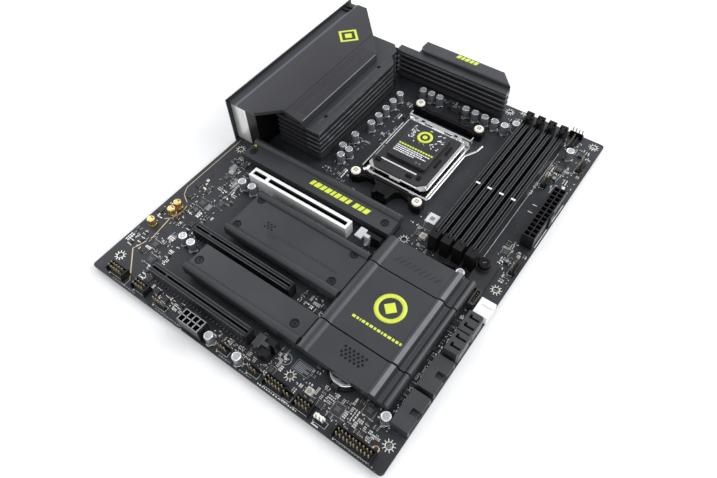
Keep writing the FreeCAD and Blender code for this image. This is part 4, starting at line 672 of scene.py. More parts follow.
def printed_squares():
    """Grey square prints and the blank white label."""
    prints = Mesh("silk_grey", "dull_print", "silk")
    for x, y, side in ((30.3, 83.2, 5.2), (19.4, 123.0, 6.0), (30.6, 113.2, 6.0), (29.1, 47.9, 5.4)):
        prints.post(x, y, side / 2, side / 2, 0.0, PRINT, 0)
        step = side / 5
        for i in range(5):
            for j in range(5):
                if random.random() < 0.5:
                    cx, cy = x - side / 2 + (i + 0.5) * step, y - side / 2 + (j + 0.5) * step
                    prints.bar(cx, cy, step * 0.8, step * 0.8, 0, PRINT, PRINT * 1.4, 1)
    prints.bar(171.9, 168.0, 8.0, 8.8, 0, 0.0, 0.1, 2)
    prints.bar(171.9, 168.0, 3.4, 3.4, 0, 0.1, 0.12, 0)
    prints.build("printed_squares")
    copper = Mesh("copper")
    copper.ring(232.5, 10.6, 1.3, 2.3, 0.0, FLAT)
    copper.ring(12.0, 9.4, 1.0, 1.9, 0.0, FLAT)
    copper.build("copper_rings")


# ---------------------------------------------------------------- small surface-mounted parts

SMALL = (
    # (length, width, height) of two-ended parts
    (1.0, 0.5, 0.40), (1.6, 0.8, 0.50), (1.6, 0.8, 0.70), (2.0, 1.25, 0.8), (1.0, 0.5, 0.35),
)
REGIONS = (
    # (low X, high X, low Y, high Y, how many two-ended parts, how many legged chips)
    (13, 28, 127, 142, 46, 3), (24, 42, 90, 108, 38, 2), (22, 36, 100, 128, 44, 3),
    (9, 22, 76, 104, 22, 2), (17, 40, 56, 72, 40, 3), (18, 42, 72, 84, 26, 2), (3, 9, 52, 74, 20, 1),
    (3, 14, 26, 46, 34, 2), (16, 29, 26, 46, 30, 2), (27, 42, 26, 52, 40, 2), (33, 43, 10, 24, 40, 2),
    (36, 78, 8, 13.4, 84, 3), (60, 86, 8, 12, 24, 1), (106, 134, 8, 14, 66, 3),
    (120, 152, 9, 15, 60, 3), (136, 160, 6, 12, 26, 1), (146, 162, 14, 21, 26, 1),
    (167, 184, 8, 20, 52, 2), (174, 186, 24, 34, 24, 1), (184, 212, 9, 25, 100, 4),
    (204, 228, 9, 25, 62, 3), (206, 232, 26, 31, 36, 1), (222, 232, 9, 24, 20, 1),
    (228, 232, 80, 113, 60, 2), (228, 231, 34, 80, 70, 2), (168, 184, 134, 149, 34, 1),
    (180, 190, 133, 143, 18, 1), (228, 242, 147, 176, 50, 3), (224, 232, 174, 182, 16, 1),
    (215, 231, 240, 272, 66, 3), (225, 241, 236, 292, 76, 3), (215, 228, 280, 296, 30, 1),
    (168, 184, 282, 303, 46, 2), (76, 98, 160, 172, 30, 2), (76, 92, 172, 206, 46, 2),
    (90, 112, 153, 164, 34, 2), (86, 100, 208, 262, 30, 1), (88, 180, 277.5, 284, 90, 2),
    (135, 159, 60, 70, 40, 2), (133, 158, 56, 62, 20, 1), (132, 140, 15, 30, 18, 1),
    (150, 158, 16, 30, 20, 1), (40, 60, 112, 117, 14, 0), (145, 160, 113, 130, 14, 1),
    (160, 172, 152, 166, 12, 1), (74, 96, 290, 303, 8, 0), (213, 228, 131, 137, 10, 0),
)


def small_parts():
    """Resistors, capacitors and little legged chips, each on its pads."""
    parts = Mesh("tin", "dark_part", "pale_ceramic", "chip", "silk", "silk_grey", "can_face", "pale_part")
    placed = list(OCCUPIED)

    def place(x, y, long, wide, along_x):
        dx, dy = (long / 2, wide / 2) if along_x else (wide / 2, long / 2)
        if not on_the_board(x - dx, x + dx, y - dy, y + dy):
            return False
        if taken(x - dx, x + dx, y - dy, y + dy, placed, 0.22):
            return False
        placed.append((x - dx, x + dx, y - dy, y + dy, 0, 0))
        return True

    def two_ended(x, y, size, along_x, kind):
        long, wide, tall = size
        if not place(x, y, long + 0.7, wide + 0.1, along_x):
            return
        parts.bar(x, y, long + 0.7, wide + 0.12, 0 if along_x else 90, 0.0, 0.06, 0)
        parts.bar(x, y, long * 0.56, wide * 0.96, 0 if along_x else 90, 0.05, tall, kind)
        for side in (-1, 1):
            shift = side * long * 0.39
            parts.bar(x + (shift if along_x else 0), y + (0 if along_x else shift), long * 0.24, wide,
                      0 if along_x else 90, 0.05, tall + 0.02, 0)

    def legged(x, y, along_x):
        long, wide, tall, legs = random.choice(((2.9, 1.5, 1.0, 3), (4.6, 3.6, 1.3, 4), (3.0, 2.6, 0.9, 4),
                                                (2.2, 1.3, 0.9, 2), (3.2, 3.0, 1.0, 5)))
        if not place(x, y, long + 0.2, wide + 1.7, along_x):
            return
        turn = 0 if along_x else 90
        parts.bar(x, y, long, wide, turn, 0.1, tall, 3)
        for i in range(legs):
            u = -long / 2 + (i + 0.5) * long / legs
            for side in (-1, 1):
                for reach, low, high in ((0.25, 0.3, 0.5), (0.62, 0.0, 0.22)):
                    v = side * (wide / 2 + reach)
                    px, py = (x + u, y + v) if along_x else (x - v, y + u)
                    parts.bar(px, py, 0.34, 0.5, turn, low, high, 0)
        u, v = -long * 0.3, -wide * 0.25
        px, py = (x + u, y + v) if along_x else (x - v, y + u)
        parts.turned(px, py, ((0.2, tall), (0.2, tall + 0.015)), 5, 10)

    sparse, usual = 0.5, 0.85
    for x0, x1, y0, y1, count, chips in REGIONS:
        in_audio_corner = x1 < 45 and y1 < 130
        count = int(count * (sparse if in_audio_corner else usual))
        for _ in range(chips * 4):
            legged(random.uniform(x0, x1), random.uniform(y0, y1), random.random() < 0.5)
        groups = max(1, count // 5)
        for _ in range(groups * 2):
            size, kind = random.choice(SMALL), random.choice((1, 1, 2, 6, 1, 7))
            along_x = random.random() < 0.5
            pitch = size[1] + 0.55
            x, y = random.uniform(x0, x1), random.uniform(y0, y1)
            for i in range(random.choice((1, 2, 3, 4, 5))):
                px, py = (x, y + i * pitch) if along_x else (x + i * pitch, y)
                if x0 <= px <= x1 and y0 <= py <= y1:
                    two_ended(px, py, size, along_x, kind)
        for _ in range(count // 3):
            x, y = random.uniform(x0, x1), random.uniform(y0, y1)
            wide = random.uniform(0.5, 1.6)
            if not taken(x - wide / 2, x + wide / 2, y - 0.3, y + 0.3, placed, 0.1):
                parts.bar(x, y, wide, 0.42, random.choice((0, 90)), 0.0, PRINT, 4)
        for _ in range(count // 4):
            x, y = random.uniform(x0, x1), random.uniform(y0, y1)
            if not taken(x - 0.4, x + 0.4, y - 0.4, y + 0.4, placed, 0.1):
                parts.turned(x, y, ((0.38, 0.0), (0.38, FLAT)), 0, 10)
    # moulded inductors
    for x, y, side, kind in ((175.1, 150.2, 4.6, 7), (181.3, 15.3, 4.6, 7), (21.5, 118.0, 3.0, 7),
                             (233.0, 164.5, 3.6, 3), (49.0, 8.6, 3.0, 3), (226.5, 251.0, 4.0, 3)):
        parts.bar(x, y, side + 0.5, side, 0, 0.0, 0.1, 0)
        parts.bar(x, y, side, side, 0, 0.1, 1.9, kind)
        parts.turned(x, y, ((side * 0.36, 1.9), (side * 0.34, 1.93)), 5, 24)
    parts.build("surface_mount_parts")


def chip_legs():
    """Leads round the flat packs, with a dot and plain bars on top."""
    legs = Mesh("tin", "dull_print")
    for x0, x1, y0, y1, _, z1 in FOOTPRINTS["integrated_circuits"]:
        side = x1 - x0
        if not 4 < side < 9 or y0 > 290 or (x0 < 45 and y0 > 160):
            continue
        count = int(side / 0.65)
        for i in range(count):
            a = (i + 0.5) * side / count - side / 2
            cx, cy = (x0 + x1) / 2, (y0 + y1) / 2
            for sx, sy in ((0, 1), (0, -1), (1, 0), (-1, 0)):
                px = cx + (a if sx == 0 else sx * (side / 2 + 0.3))
                py = cy + (a if sy == 0 else sy * (side / 2 + 0.3))
                wide, deep = (0.3, 0.6) if sx == 0 else (0.6, 0.3)
                legs.post(px, py, wide / 2, deep / 2, 0.0, 0.25)
        legs.turned(x0 + side * 0.16, y1 - side * 0.16, ((0.3, z1), (0.3, z1 + HAIR)), 1, 14)
        for row in range(3):
            wide = side * (0.6, 0.42, 0.5)[row]
            low = cy + 0.8 - row
            legs.box(cx - wide / 2, cx + wide / 2, low, low + 0.35, z1, z1 + HAIR, 1)
    legs.build("chip_legs")


# ---------------------------------------------------------------- capacitors

def capacitor_tops():
    """Light rim, face and vent lines of each can, its foot ring and its moulded foot."""
    tops = Mesh("can_top", "can_face", "black_plastic")
    for x0, x1, y0, y1, _, top in FOOTPRINTS["polymer_capacitors"]:
        x, y, radius = (x0 + x1) / 2, (y0 + y1) / 2, (x1 - x0) / 2
        tops.turned(x, y, ((radius - 0.05, top - 0.3), (radius - 0.1, top + FLAT), (radius - 0.3, top + 0.12),
                           (radius - 0.65, top + 0.12), (radius - 0.75, top + HAIR)), 0, 28)
        tops.turned(x, y, ((radius - 0.9, top), (radius - 0.9, top + THIN)), 1, 28)
        tops.bar(x, y, 1.5 * radius, 0.16, 30, top + THIN, top + PRINT, 0)
        tops.bar(x, y, 1.5 * radius, 0.16, 150, top + THIN, top + PRINT, 0)
        tops.ring(x, y, radius - 0.2, radius + 0.12, 0.5, 0.8, 0, 28)
        foot = radius + 0.2
        tops.slab([(x - foot, y - foot), (x + foot - 1.2, y - foot), (x + foot, y - foot + 1.2),
                   (x + foot, y + foot - 1.2), (x + foot - 1.2, y + foot), (x - foot, y + foot)], 0.0, 0.5, 2)
    tops.build("capacitor_tops")
    caps = Mesh("gold", "dark_print")
    for x, y, top in centres(FOOTPRINTS["audio_capacitors"]):
        caps.ring(x, y, 1.9, 2.2, top - 0.02, top + 0.06, 0, 28)
        caps.slab(circle_points(x, y, 1.7, 24, 0.3)[:9], top - 0.02, top + THIN, 1)
        caps.ring(x, y, 3.0, 3.12, 0.8, 1.4, 0, 28)
    caps.build("audio_capacitor_tops")


# ---------------------------------------------------------------- socket

def socket_contacts():
    """Field of spring contacts round the empty middle of the socket."""
    field = Mesh("gold", "dark_print")
    floor_z = board_box("socket_body")[5] - 1.4
    pitch, half = 1.1, 18.9
    steps = int(2 * half / pitch)
    for i in range(steps + 1):
        for j in range(steps + 1):
            u, v = -half + i * pitch, -half + j * pitch
            if abs(u) < 6.2 and abs(v) < 6.2:
                continue
            x, y = SOCKET_X + u, SOCKET_Y + v
            field.add([(x - 0.3, y - 0.2, floor_z), (x + 0.3, y - 0.2, floor_z), (x + 0.3, y + 0.2, floor_z),
                       (x - 0.3, y + 0.2, floor_z), (x + 0.25, y, floor_z + 0.5)],
                      [(0, 1, 4), (1, 2, 4), (2, 3, 4), (3, 0, 4)])
    field.build("socket_contacts")


def load_plate_details():
    """Pressed beads, rivets and dimples of the plate, which swing with it."""
    top = board_box("socket_cap")[4] - 0.05
    made = Mesh("steel", "deep", "armour")
    for x, y, radius in ((SOCKET_X - 22.6, SOCKET_Y + 27.6, 1.1), (SOCKET_X + 22.6, SOCKET_Y + 27.6, 1.1),
                         (SOCKET_X + 23.6, SOCKET_Y - 28.4, 1.0), (SOCKET_X - 17, SOCKET_Y + 27.4, 0.9),
                         (SOCKET_X + 17, SOCKET_Y + 27.4, 0.9)):
        dimple = ((radius, top), (radius, top + 0.4), (radius * 0.7, top + 0.65), (0.2, top + 0.7))
        made.turned(x, y, dimple, 0, 20)
        made.ring(x, y, radius + 0.25, radius + 0.45, top, top + THIN, 1, 24)
    made.box(SOCKET_X + 23.7, SOCKET_X + 24.4, SOCKET_Y - 24, SOCKET_Y + 23, top, top + 0.35, 2)
    made.box(SOCKET_X - 3.4, SOCKET_X + 3.4, SOCKET_Y + 26.4, SOCKET_Y + 28.4, top, top + 0.3, 2)
    for x in (-14.6, -4.9, 4.3, 12.6, 20.4):
        made.box(SOCKET_X + x, SOCKET_X + x + 0.6, SOCKET_Y + 26.3, SOCKET_Y + 28.6, top, top + 0.3, 2)
    for x in (-9.0, 9.0):
        made.box(SOCKET_X + x - 2.6, SOCKET_X + x + 2.6, SOCKET_Y + 29.6, SOCKET_Y + 30.1, top, top + 0.25, 2)
    for x in (-15.0, 15.0):
        made.box(SOCKET_X + x - 1.5, SOCKET_X + x + 1.5, SOCKET_Y + 29.4, SOCKET_Y + 31.4, top, top + HAIR, 1)
    made.box(SOCKET_X + 4.0, SOCKET_X + 18.0, SOCKET_Y - 32.7, SOCKET_Y - 31.9, top, top + 0.3, 2)
    made.build("load_plate_beads", "load_plate", rounding=0.08)


def cap_print():
    """Plain ring, rows and scattered marks on the protective cap, and its raised bars."""
    top = board_box("socket_cap")[5]
    ink = Mesh("lime", "silk_grey", "silk", "armour", "gloss_plastic")
    x, y = SOCKET_X - 2.1, SOCKET_Y + 12.0
    ink.ring(x, y, 3.9, 6.2, top, top + PRINT, 0, 40)
    ink.turned(x, y, ((2.0, top), (2.0, top + PRINT)), 0, 24)
    start = SOCKET_X - 16.0
    for k in range(13):
        ink.box(start + k * 2.35, start + k * 2.35 + 1.7, SOCKET_Y - 3.6, SOCKET_Y - 2.0, top, top + PRINT, 0)
    for row, length in enumerate((28.0, 24.0, 27.0, 18.0)):
        u = start
        while u < start + length:
            wide = random.uniform(0.7, 2.2)
            ink.box(u, u + wide, SOCKET_Y - 6.0 - 1.9 * row, SOCKET_Y - 5.0 - 1.9 * row, top, top + PRINT, 2)
            u += wide + 0.5
    for k in range(44):
        u, v = random.uniform(-15.5, 13), random.uniform(2.5, 20.5)
        if math.hypot(u + 2.1, v - 12.0) > 7.4:
            length, turn = random.uniform(1.0, 3.6), random.choice((0, 45, 90, 135))
            ink.bar(SOCKET_X + u, SOCKET_Y + v, length, 0.7, turn, top, top + PRINT, 2 if k % 3 else 1)
    for u in (6.5, 9.5):
        ink.ring(SOCKET_X + u, SOCKET_Y - 14.2, 0.5, 0.8, top, top + PRINT, 1, 16)
    flange = board_box("socket_cap")[4] + 1.0
    ink.box(SOCKET_X - 25.4, SOCKET_X - 24.6, SOCKET_Y - 22.0, SOCKET_Y - 10.0, flange, flange + THIN, 1)
    ink.box(SOCKET_X - 19.5, SOCKET_X + 12.0, SOCKET_Y - 22.6, SOCKET_Y - 21.6, flange, flange + 0.5, 3)
    ink.box(SOCKET_X - 25.2, SOCKET_X - 24.7, SOCKET_Y - 8.0, SOCKET_Y + 24.5, flange, flange + 0.3, 3)
    for u, v, wide, deep in ((-20.5, -24.6, 4.6, 3.2), (8.0, -26.2, 5.0, 2.4), (15.4, -24.0, 3.0, 3.6),
                             (19.4, -4.0, 1.8, 9.0), (19.4, 12.0, 1.8, 9.0)):
        ink.bar(SOCKET_X + u, SOCKET_Y + v, wide, deep, 0, flange, flange + 0.9, 4)
    ink.build("cap_print", "socket_cap")


def bracket_details():
    """Cream collar and brass centre of each bracket screw, and the raised lines of the brackets."""
    made = Mesh("cream", "brass")
    for x, y, top in centres(solids_of("bracket_screws")):
        made.turned(x, y, ((3.5, top - 1.9), (3.75, top - 1.6), (3.75, top - 0.5), (3.3, top + 0.1),
                           (2.1, top + 0.15), (1.9, top + HAIR)), 0, 36)
        for k in range(4):
            turn = k * math.pi / 2
            arc = [(1.7 * math.cos(a), 1.7 * math.sin(a)) for a in (0.21, 0.5, 0.785, 1.07, 1.36)]
            sector = [(0.34, 0.34)] + arc
            c, s = math.cos(turn), math.sin(turn)
            points = [(x + u * c - v * s, y + u * s + v * c) for u, v in sector]
            made.slab(points, top - 0.02, top + 0.25, 1)
    made.build("bracket_screw_collars")
    lines = Mesh("gloss_plastic")
    for side in (-1, 1):
        y = SOCKET_Y + side * 45.0
        for x in (-27.0, 27.0):
            lines.ring(SOCKET_X + x, y, 3.9, 4.4, 7.45, 8.0, 0, 32)
        lines.bar(SOCKET_X, y - side * 3.2, 40.0, 0.7, 0, 7.45, 7.9)
        lines.bar(SOCKET_X - 17.5, y + side * 0.2, 9.0, 0.6, -side * 14, 7.45, 7.8)
        lines.bar(SOCKET_X + 17.5, y + side * 0.2, 9.0, 0.6, side * 14, 7.45, 7.8)
    lines.build("bracket_ribs", rounding=0.15)


# ---------------------------------------------------------------- slots and connectors

def slot_contacts():
    """Contacts in the memory and card grooves, key marks, painted highlight lines along the slot tops, solder
    tails and ribs.
    """
    made = Mesh("contact", "tin", "silk", "rib", "slot_edge_highlight")
    for number in range(4):
        x0, x1, y0, y1, _, _ = longest("dimm_slot_%d" % (number + 1))
        x, y, key = (x0 + x1) / 2, y0 + DIMM_TOWER, y0 + 62.0
        while y < y1 - 10.0:
            if not key - 0.8 < y < key + 2.6:
                for side in (-1, 1):
                    a, b = sorted((x + side * 0.82, x + side * 0.42))
                    made.box(a, b, y, y + 0.4, 4.6, 9.6)
            y += 1.0
        made.box(x - 1.7, x + 1.7, key + 0.1, key + 1.6, DIMM_TOP, DIMM_TOP + 0.07, 2)
        # Light lines along the top of each memory slot: painted highlights on its edges.
        for a in (x - 3.15, x - 1.2, x + 1.0, x + 2.95):
            made.box(a, a + 0.2, y0 + DIMM_TOWER, y1 - DIMM_TOWER - 1.0, DIMM_TOP, DIMM_TOP + FLAT, 4)
    for number in "123":
        x0, x1, y0, y1, _, _ = longest("pcie_slot_" + number)
        end = x1 - 2.0
        if number == "3":
            end = min(end, board_box("pcie_latch_3")[0] - 3.0)
        y, x = (y0 + y1) / 2, x0 + 2.4
        while x < end:
            if not 55.6 < x < 58.8:
                for side in (-1, 1):
                    a, b = sorted((y + side * 0.92, y + side * 0.5))
                    made.box(x, x + 0.4, a, b, 3.2, 8.2)
            x += 1.0
        if number != "1":
            # Light lines along the top of the card slots: painted highlights on their edges.
            for a in (y - 3.4, y - 1.25, y + 1.05, y + 3.2):
                made.box(x0 + 0.4, end, a, a + 0.2, CARD_TOP, CARD_TOP + FLAT, 4)
            x = x0 + 2.0
            while x < end:
                for side in (-1, 1):
                    a, b = sorted((y + side * 3.4, y + side * 4.5))
                    made.box(x + 1.5, x + 1.95, a, b, 0.0, 0.2, 1)
                    a, b = sorted((y + side * 3.4, y + side * 3.9))
                    if number == "3":
                        made.box(x, x + 1.1, a, b, 0.6, 10.2, 3)
                x += 3.0
    made.build("slot_contacts")


def connector_pins():
    """Pins inside the power connectors, the drive connectors and the case headers."""
    made = Mesh("tin", "gold", "rim", "dark_print")
    for node in ("atx_power_connector", "pcie_power_connector", "cpu_power_connectors"):
        for x0, x1, y0, y1, top, pins in power_grids(node):
            x, y, half = (x0 + x1) / 2, (y0 + y1) / 2, 0.28
            for px, py in pins:
                made.post(px, py, 0.5, 0.5, top - 9.5, top - 3.0, 0)
            if node == "pcie_power_connector":
                for low, high in ((y0 + 0.1, y0 + 0.5), (y1 - 0.5, y1 - 0.1), (y - half, y + half)):
                    made.box(x0 + 0.1, x1 - 0.1, low, high, top, top + PRINT, 2)
                for i in range(5):
                    px = x + (i - 2) * POWER_PITCH
                    made.box(px - half, px + half, y0 + 0.3, y1 - 0.3, top, top + PRINT, 2)
            if node == "atx_power_connector":
                for j in range(13):
                    py = y + (j - 6) * POWER_PITCH
                    made.box(x0 + 0.3, x1 - 0.3, py - 0.1, py + 0.1, top, top + THIN, 3)
    for x0, x1, y0, y1, _, z1 in FOOTPRINTS["sata_connectors"]:
        for step in range(2):
            y = y0 + 3.4 + 6.6 * step
            for k in range(7):
                x = x0 + 2.8 + k * 0.9
                made.box(x, x + 0.4, y + 1.0, y + 1.45, z1 - 6.9, z1 - 2.6, 3)
    for x0, x1, y0, y1, _, z1 in FOOTPRINTS["usb_headers"]:
        if x1 - x0 > 8:
            for k in range(9):
                y = y0 + 5.0 + k * (y1 - y0 - 10.0) / 8
                made.box(x1 - 7.6, x1 - 1.6, y - 0.2, y + 0.2, 4.58, 4.68, 3)
        else:
            for k in range(5):
                y = y0 + 2.4 + k * 1.95
                made.box((x0 + x1) / 2 - 0.2, (x0 + x1) / 2 + 0.2, y - 0.2, y + 0.2, 2.0, 7.0, 1)
    x0, x1, y0, y1, _, z1 = board_box("edge_fan_connector")
    for k in range(4):
        y = (y0 + y1) / 2 + (k - 1.5) * 2.0
        made.box(x0 + 4.4, x1 - 1.0, y - 0.25, y + 0.25, 3.2, 3.7, 1)
        made.box(x0 - 1.2, x0, y - 0.3, y + 0.3, 0.0, 0.3, 0)
    made.build("connector_pins")


def header_extras():
    """White header block, header walls and the far header's pins; small white blocks are laid out but never
    built.
    """
    shroud = Mesh("white_plastic")
    x0, x1, y0, y1 = 193.2, 200.2, 4.3, 6.9
    shroud.box(x0, x1, y0, y1, 0.0, 5.0)
    for x in (x0 + 1.4, x1 - 2.2):
        shroud.box(x, x + 0.8, y1, y1 + 0.5, 0.0, 4.4)
    shroud.build("light_header_shroud", rounding=0.15)
    small = Mesh("white_plastic")
    for x0, x1, y0, y1 in ((93.4, 99.4, 35.6, 39.0), (47.6, 54.0, 2.2, 3.0)):
        small.box(x0, x1, y0, y1, 0.0, 0.9 if y0 > 30 else 3.6)
    walls = Mesh("black_plastic")
    for x0, x1, y0, y1, _, _ in FOOTPRINTS["pin_header_bases"]:
        if (y1 - y0 < 3.4 and y0 < 10 and x0 > 110 and not 190 < x0 < 197) or (x1 - x0 < 3.4 and y0 > 150):
            if x1 - x0 > y1 - y0:
                walls.box(x0 - 0.3, x1 + 0.3, y1 + 0.9, y1 + 1.7, 0.0, 5.8)
                walls.box(x0 - 0.3, x1 + 0.3, y1, y1 + 1.7, 0.0, 1.6)
            else:
                walls.box(x1 + 0.9, x1 + 1.7, y0 - 0.3, y1 + 0.3, 0.0, 5.8)
                walls.box(x1, x1 + 1.7, y0 - 0.3, y1 + 0.3, 0.0, 1.6)
        else:
            if y0 < 12 and y1 - y0 > 4 and x0 > 0:
                walls.box(x0 - 1.3, x0 - 0.5, y0 - 1.2, y1 + 1.3, 0.0, 6.0)
                walls.box(x1 + 0.5, x1 + 1.3, y0 - 1.2, y1 + 1.3, 0.0, 6.0)
                walls.box(x0 - 1.3, x1 + 1.3, y1 + 0.5, y1 + 1.3, 0.0, 6.0)
    walls.box(216.0, 226.6, 299.4, 303.6, 0.0, 2.6)
    walls.box(216.0, 226.6, 299.4, 300.2, 2.6, 6.2)
    walls.build("header_walls", rounding=0.12)
    pins = Mesh("contact")
    for k in range(4):
        x = 217.6 + k * 2.54
        pins.box(x - 0.32, x + 0.32, 301.4, 302.04, 2.6, 8.4)
    pins.build("far_header_pins")


# ---------------------------------------------------------------- cover and heatsinks

def lip_height(x):
    """Top of the cover's lip, which slopes down from the crease to its edge."""
    crease, crease_z, edge, edge_z = 43.5, 40.0, 59.0, 36.5
    return crease_z - (x - crease) * (crease_z - edge_z) / (edge - crease)


def cover_lines():
    """Painted shade along the crease, lip hatch, painted highlight along the lip edge, plain lime mark and
    painted shade in the far end slits of the cover.
    """
    made = Mesh("deep", "lime", "painted_edge_highlight", "cover_mark")
    _, _, _, y1, _, top = board_box("io_cover")
    # Near-black strip along the crease: painted shade in the groove.
    made.box(43.2, 43.6, 164.0, 274.6, top - 0.05, top + THIN, 0)
    y, pitch = 168.0, 2.4
    while y < 256.0:
        for start, end in ((45.2, 50.4), (51.6, 57.6)):
            shear = y + (start - 45.2) * 0.3
            points = [(x, shear + shift, lip_height(x) + THIN)
                      for x, shift in ((start, 0.0), (end, 3.0), (end, 3.9), (start, 0.9))]
            made.add(points, [(0, 1, 2, 3)], 3)
        y += pitch
    # Light strip along the lip edge: painted highlight.
    corners = ((58.2, 166.0), (58.7, 166.0), (58.7, 258.0), (58.2, 258.0))
    made.add([(x, y, lip_height(x) + FLAT) for x, y in corners], [(0, 1, 2, 3)], 2)
    cx, cy, outer, inner = 28.2, 263.0, 10.4, 7.6
    ring = [(cx + r * c, cy + r * s, top + FLAT)
            for r in (outer, inner) for c, s in ((1, 0), (0, 1), (-1, 0), (0, -1))]
    made.add(ring, [(k, (k + 1) % 4, 4 + (k + 1) % 4, 4 + k) for k in range(4)], 1)
    made.bar(cx, cy, 5.6, 5.6, 45, top, top + FLAT, 1)
    # Near-black blocks in the far end slits: painted shade inside them.
    for far, near, rise in ((5.6, 7.5, 0.3), (10.4, 12.0, 0.2)):
        made.box(0.6, 7.4, y1 - near, y1 - far, top - 1.2, top + rise, 0)
    made.build("cover_lines")


def slanted_bar(mesh, x, y, length, width, z, lean=0.45, kind=0):
    """Printed bar along Y that leans over."""
    shift = lean * length
    corners = [(x, y), (x + width, y), (x + width + shift, y + length), (x + shift, y + length)]
    mesh.slab(corners, z, z + PRINT, kind)


def slanted_row(mesh, x, y, length, widths, z, gap):
    """Row of slanted bars; gives back where the next bar would start."""
    for width in widths:
        slanted_bar(mesh, x, y, length, width, z, 0.25)
        x += width + gap
    return x


def staggered_dots(mesh, x, y, rows, columns, pitch, drop, side, z, thick):
    """Rows of turned squares, every other row one shorter and shifted."""
    for row in range(rows):
        for k in range(columns - row % 2):
            mesh.bar(x + pitch * k + 1.5 * (row % 2), y - drop * row, side, side, 45, z, z + thick)


def heatsink_marks():
    """Lime and dark prints, painted highlight bands, painted shade rings round the screws and painted
    highlight lines on the fin edges of the heatsinks.
    """
    lime = Mesh("lime")
    widths = (3.0, 4.4, 3.4, 4.0, 2.6, 3.8, 4.2, 3.0)
    x = slanted_row(lime, 84.0, 137.2, 4.6, widths, STRIP_TOP, 1.0)
    slanted_row(lime, x + 2.4, 137.2, 4.6, (3.8, 3.0, 4.0), STRIP_TOP, 1.0)
    lime.slab([(24.2, 143.4), (27.0, 143.4), (25.6, 145.0)], STRIP_TOP, STRIP_TOP + PRINT)
    cx, cy = 192.3, 84.2
    lime.ring(cx, cy, 7.6, 10.6, CHIPSET_TOP, CHIPSET_TOP + PRINT, 0, 56)
    lime.bar(cx, cy, 7.0, 7.0, 45, CHIPSET_TOP, CHIPSET_TOP + PRINT)
    x = 175.4
    for wide in (2.4, 1.6, 0.8, 2.2, 1.8, 2.4, 1.6, 2.2, 1.0, 2.0, 2.4, 1.6, 2.0, 1.4):
        lime.box(x, x + wide, 66.1, 67.9, CHIPSET_TOP, CHIPSET_TOP + PRINT)
        x += wide + 0.85
    panel = top_at("vrm_heatsink_top", 120.0, 300.0)
    slanted_row(lime, 110.4, 298.4, 4.0, (3.2, 2.6, 3.4, 2.8, 3.0), panel, 0.9)
    lime.build("lime_prints")
    dark = Mesh("deep", "tone", "band", "dark_print")
    x = 88.0
    while x < 148.0:
        slanted_bar(dark, x, 85.4, 2.0, 2.2, STRIP_TOP, -0.6, 3)
        x += 3.1
    dark.bar(93.0, 84.0, 7.0, 2.6, 0, STRIP_TOP, STRIP_TOP + THIN, 3)
    staggered_dots(dark, 83.6, 92.4, 3, 3, 3.0, 1.9, 1.5, STRIP_TOP, THIN)
    staggered_dots(dark, 184.8, 47.4, 4, 6, 3.1, 2.1, 1.6, CHIPSET_TOP, FLAT)
    for k in range(9):
        dark.bar(175.4 + 3.8 * k, 118.0, 5.6, 1.4, 60, CHIPSET_TOP, CHIPSET_TOP + THIN, 3)
    # Lighter strips along the right ridges of the chipset heatsinks: painted highlights.
    for y0, y1 in ((107.0, 131.2), (54.4, 106.2), (30.6, 53.6)):
        dark.box(212.9, 214.1, y0 + 0.3, y1 - 0.3, CHIPSET_TOP + 0.2, CHIPSET_TOP + 1.28, 1)
        dark.box(214.3, 217.3, y0 + 0.3, y1 - 0.3, CHIPSET_RAMP - 0.05, CHIPSET_RAMP + 0.06, 2)
    # Near-black rings round the heatsink screws: painted shade in the gaps.
    radius = 2.7
    for x, y, _ in centres(solids_of("heatsink_fasteners")):
        for node in ("m2_heatsink_top", "m2_heatsink_middle", "m2_heatsink_lower"):
            level = top_at(node, x + radius + 0.3, y)
            if level > 1.0:
                dark.ring(x, y, radius, radius + 0.6, level, level + 0.03, 0, 28)
    dark.build("heatsink_prints_and_painted_light")
    plain = Mesh("tone")
    top = board_box("vrm_heatsink_left")[5]
    for y0, y1 in ((174.0, 181.0), (186.6, 250.0), (256.6, 262.0)):
        plain.box(64.6, 66.0, y0, y1, top, top + THIN)
    plain.box(70.6, 71.2, 168.0, 262.0, top, top + THIN)
    plain.build("heatsink_lines")
    # Light lines along the fin edges of the VRM heatsinks: painted highlights.
    edges = Mesh("painted_edge_highlight")
    left, far = board_box("vrm_heatsink_left"), board_box("vrm_heatsink_top")
    for low in (11.05, 15.65, 20.25, 24.85, 30.3):
        edges.box(left[1] - 0.02, left[1] + 0.05, left[2] + 0.6, 263.8, low, low + 0.5)
        edges.box(left[0] + 28.5, left[1] - 0.3, left[2] - 0.05, left[2] + 0.02, low, low + 0.5)
        low = min(low, far[5] - 3.7)
        edges.box(far[0] + 0.6, far[1] - 0.6, far[2] - 0.05, far[2] + 0.02, low, low + 0.5)
        edges.box(far[1] - 0.02, far[1] + 0.05, far[2] + 0.6, 290.4, low, low + 0.5)
    edges.build("fin_painted_highlight_lines")


# ---------------------------------------------------------------- rear ports

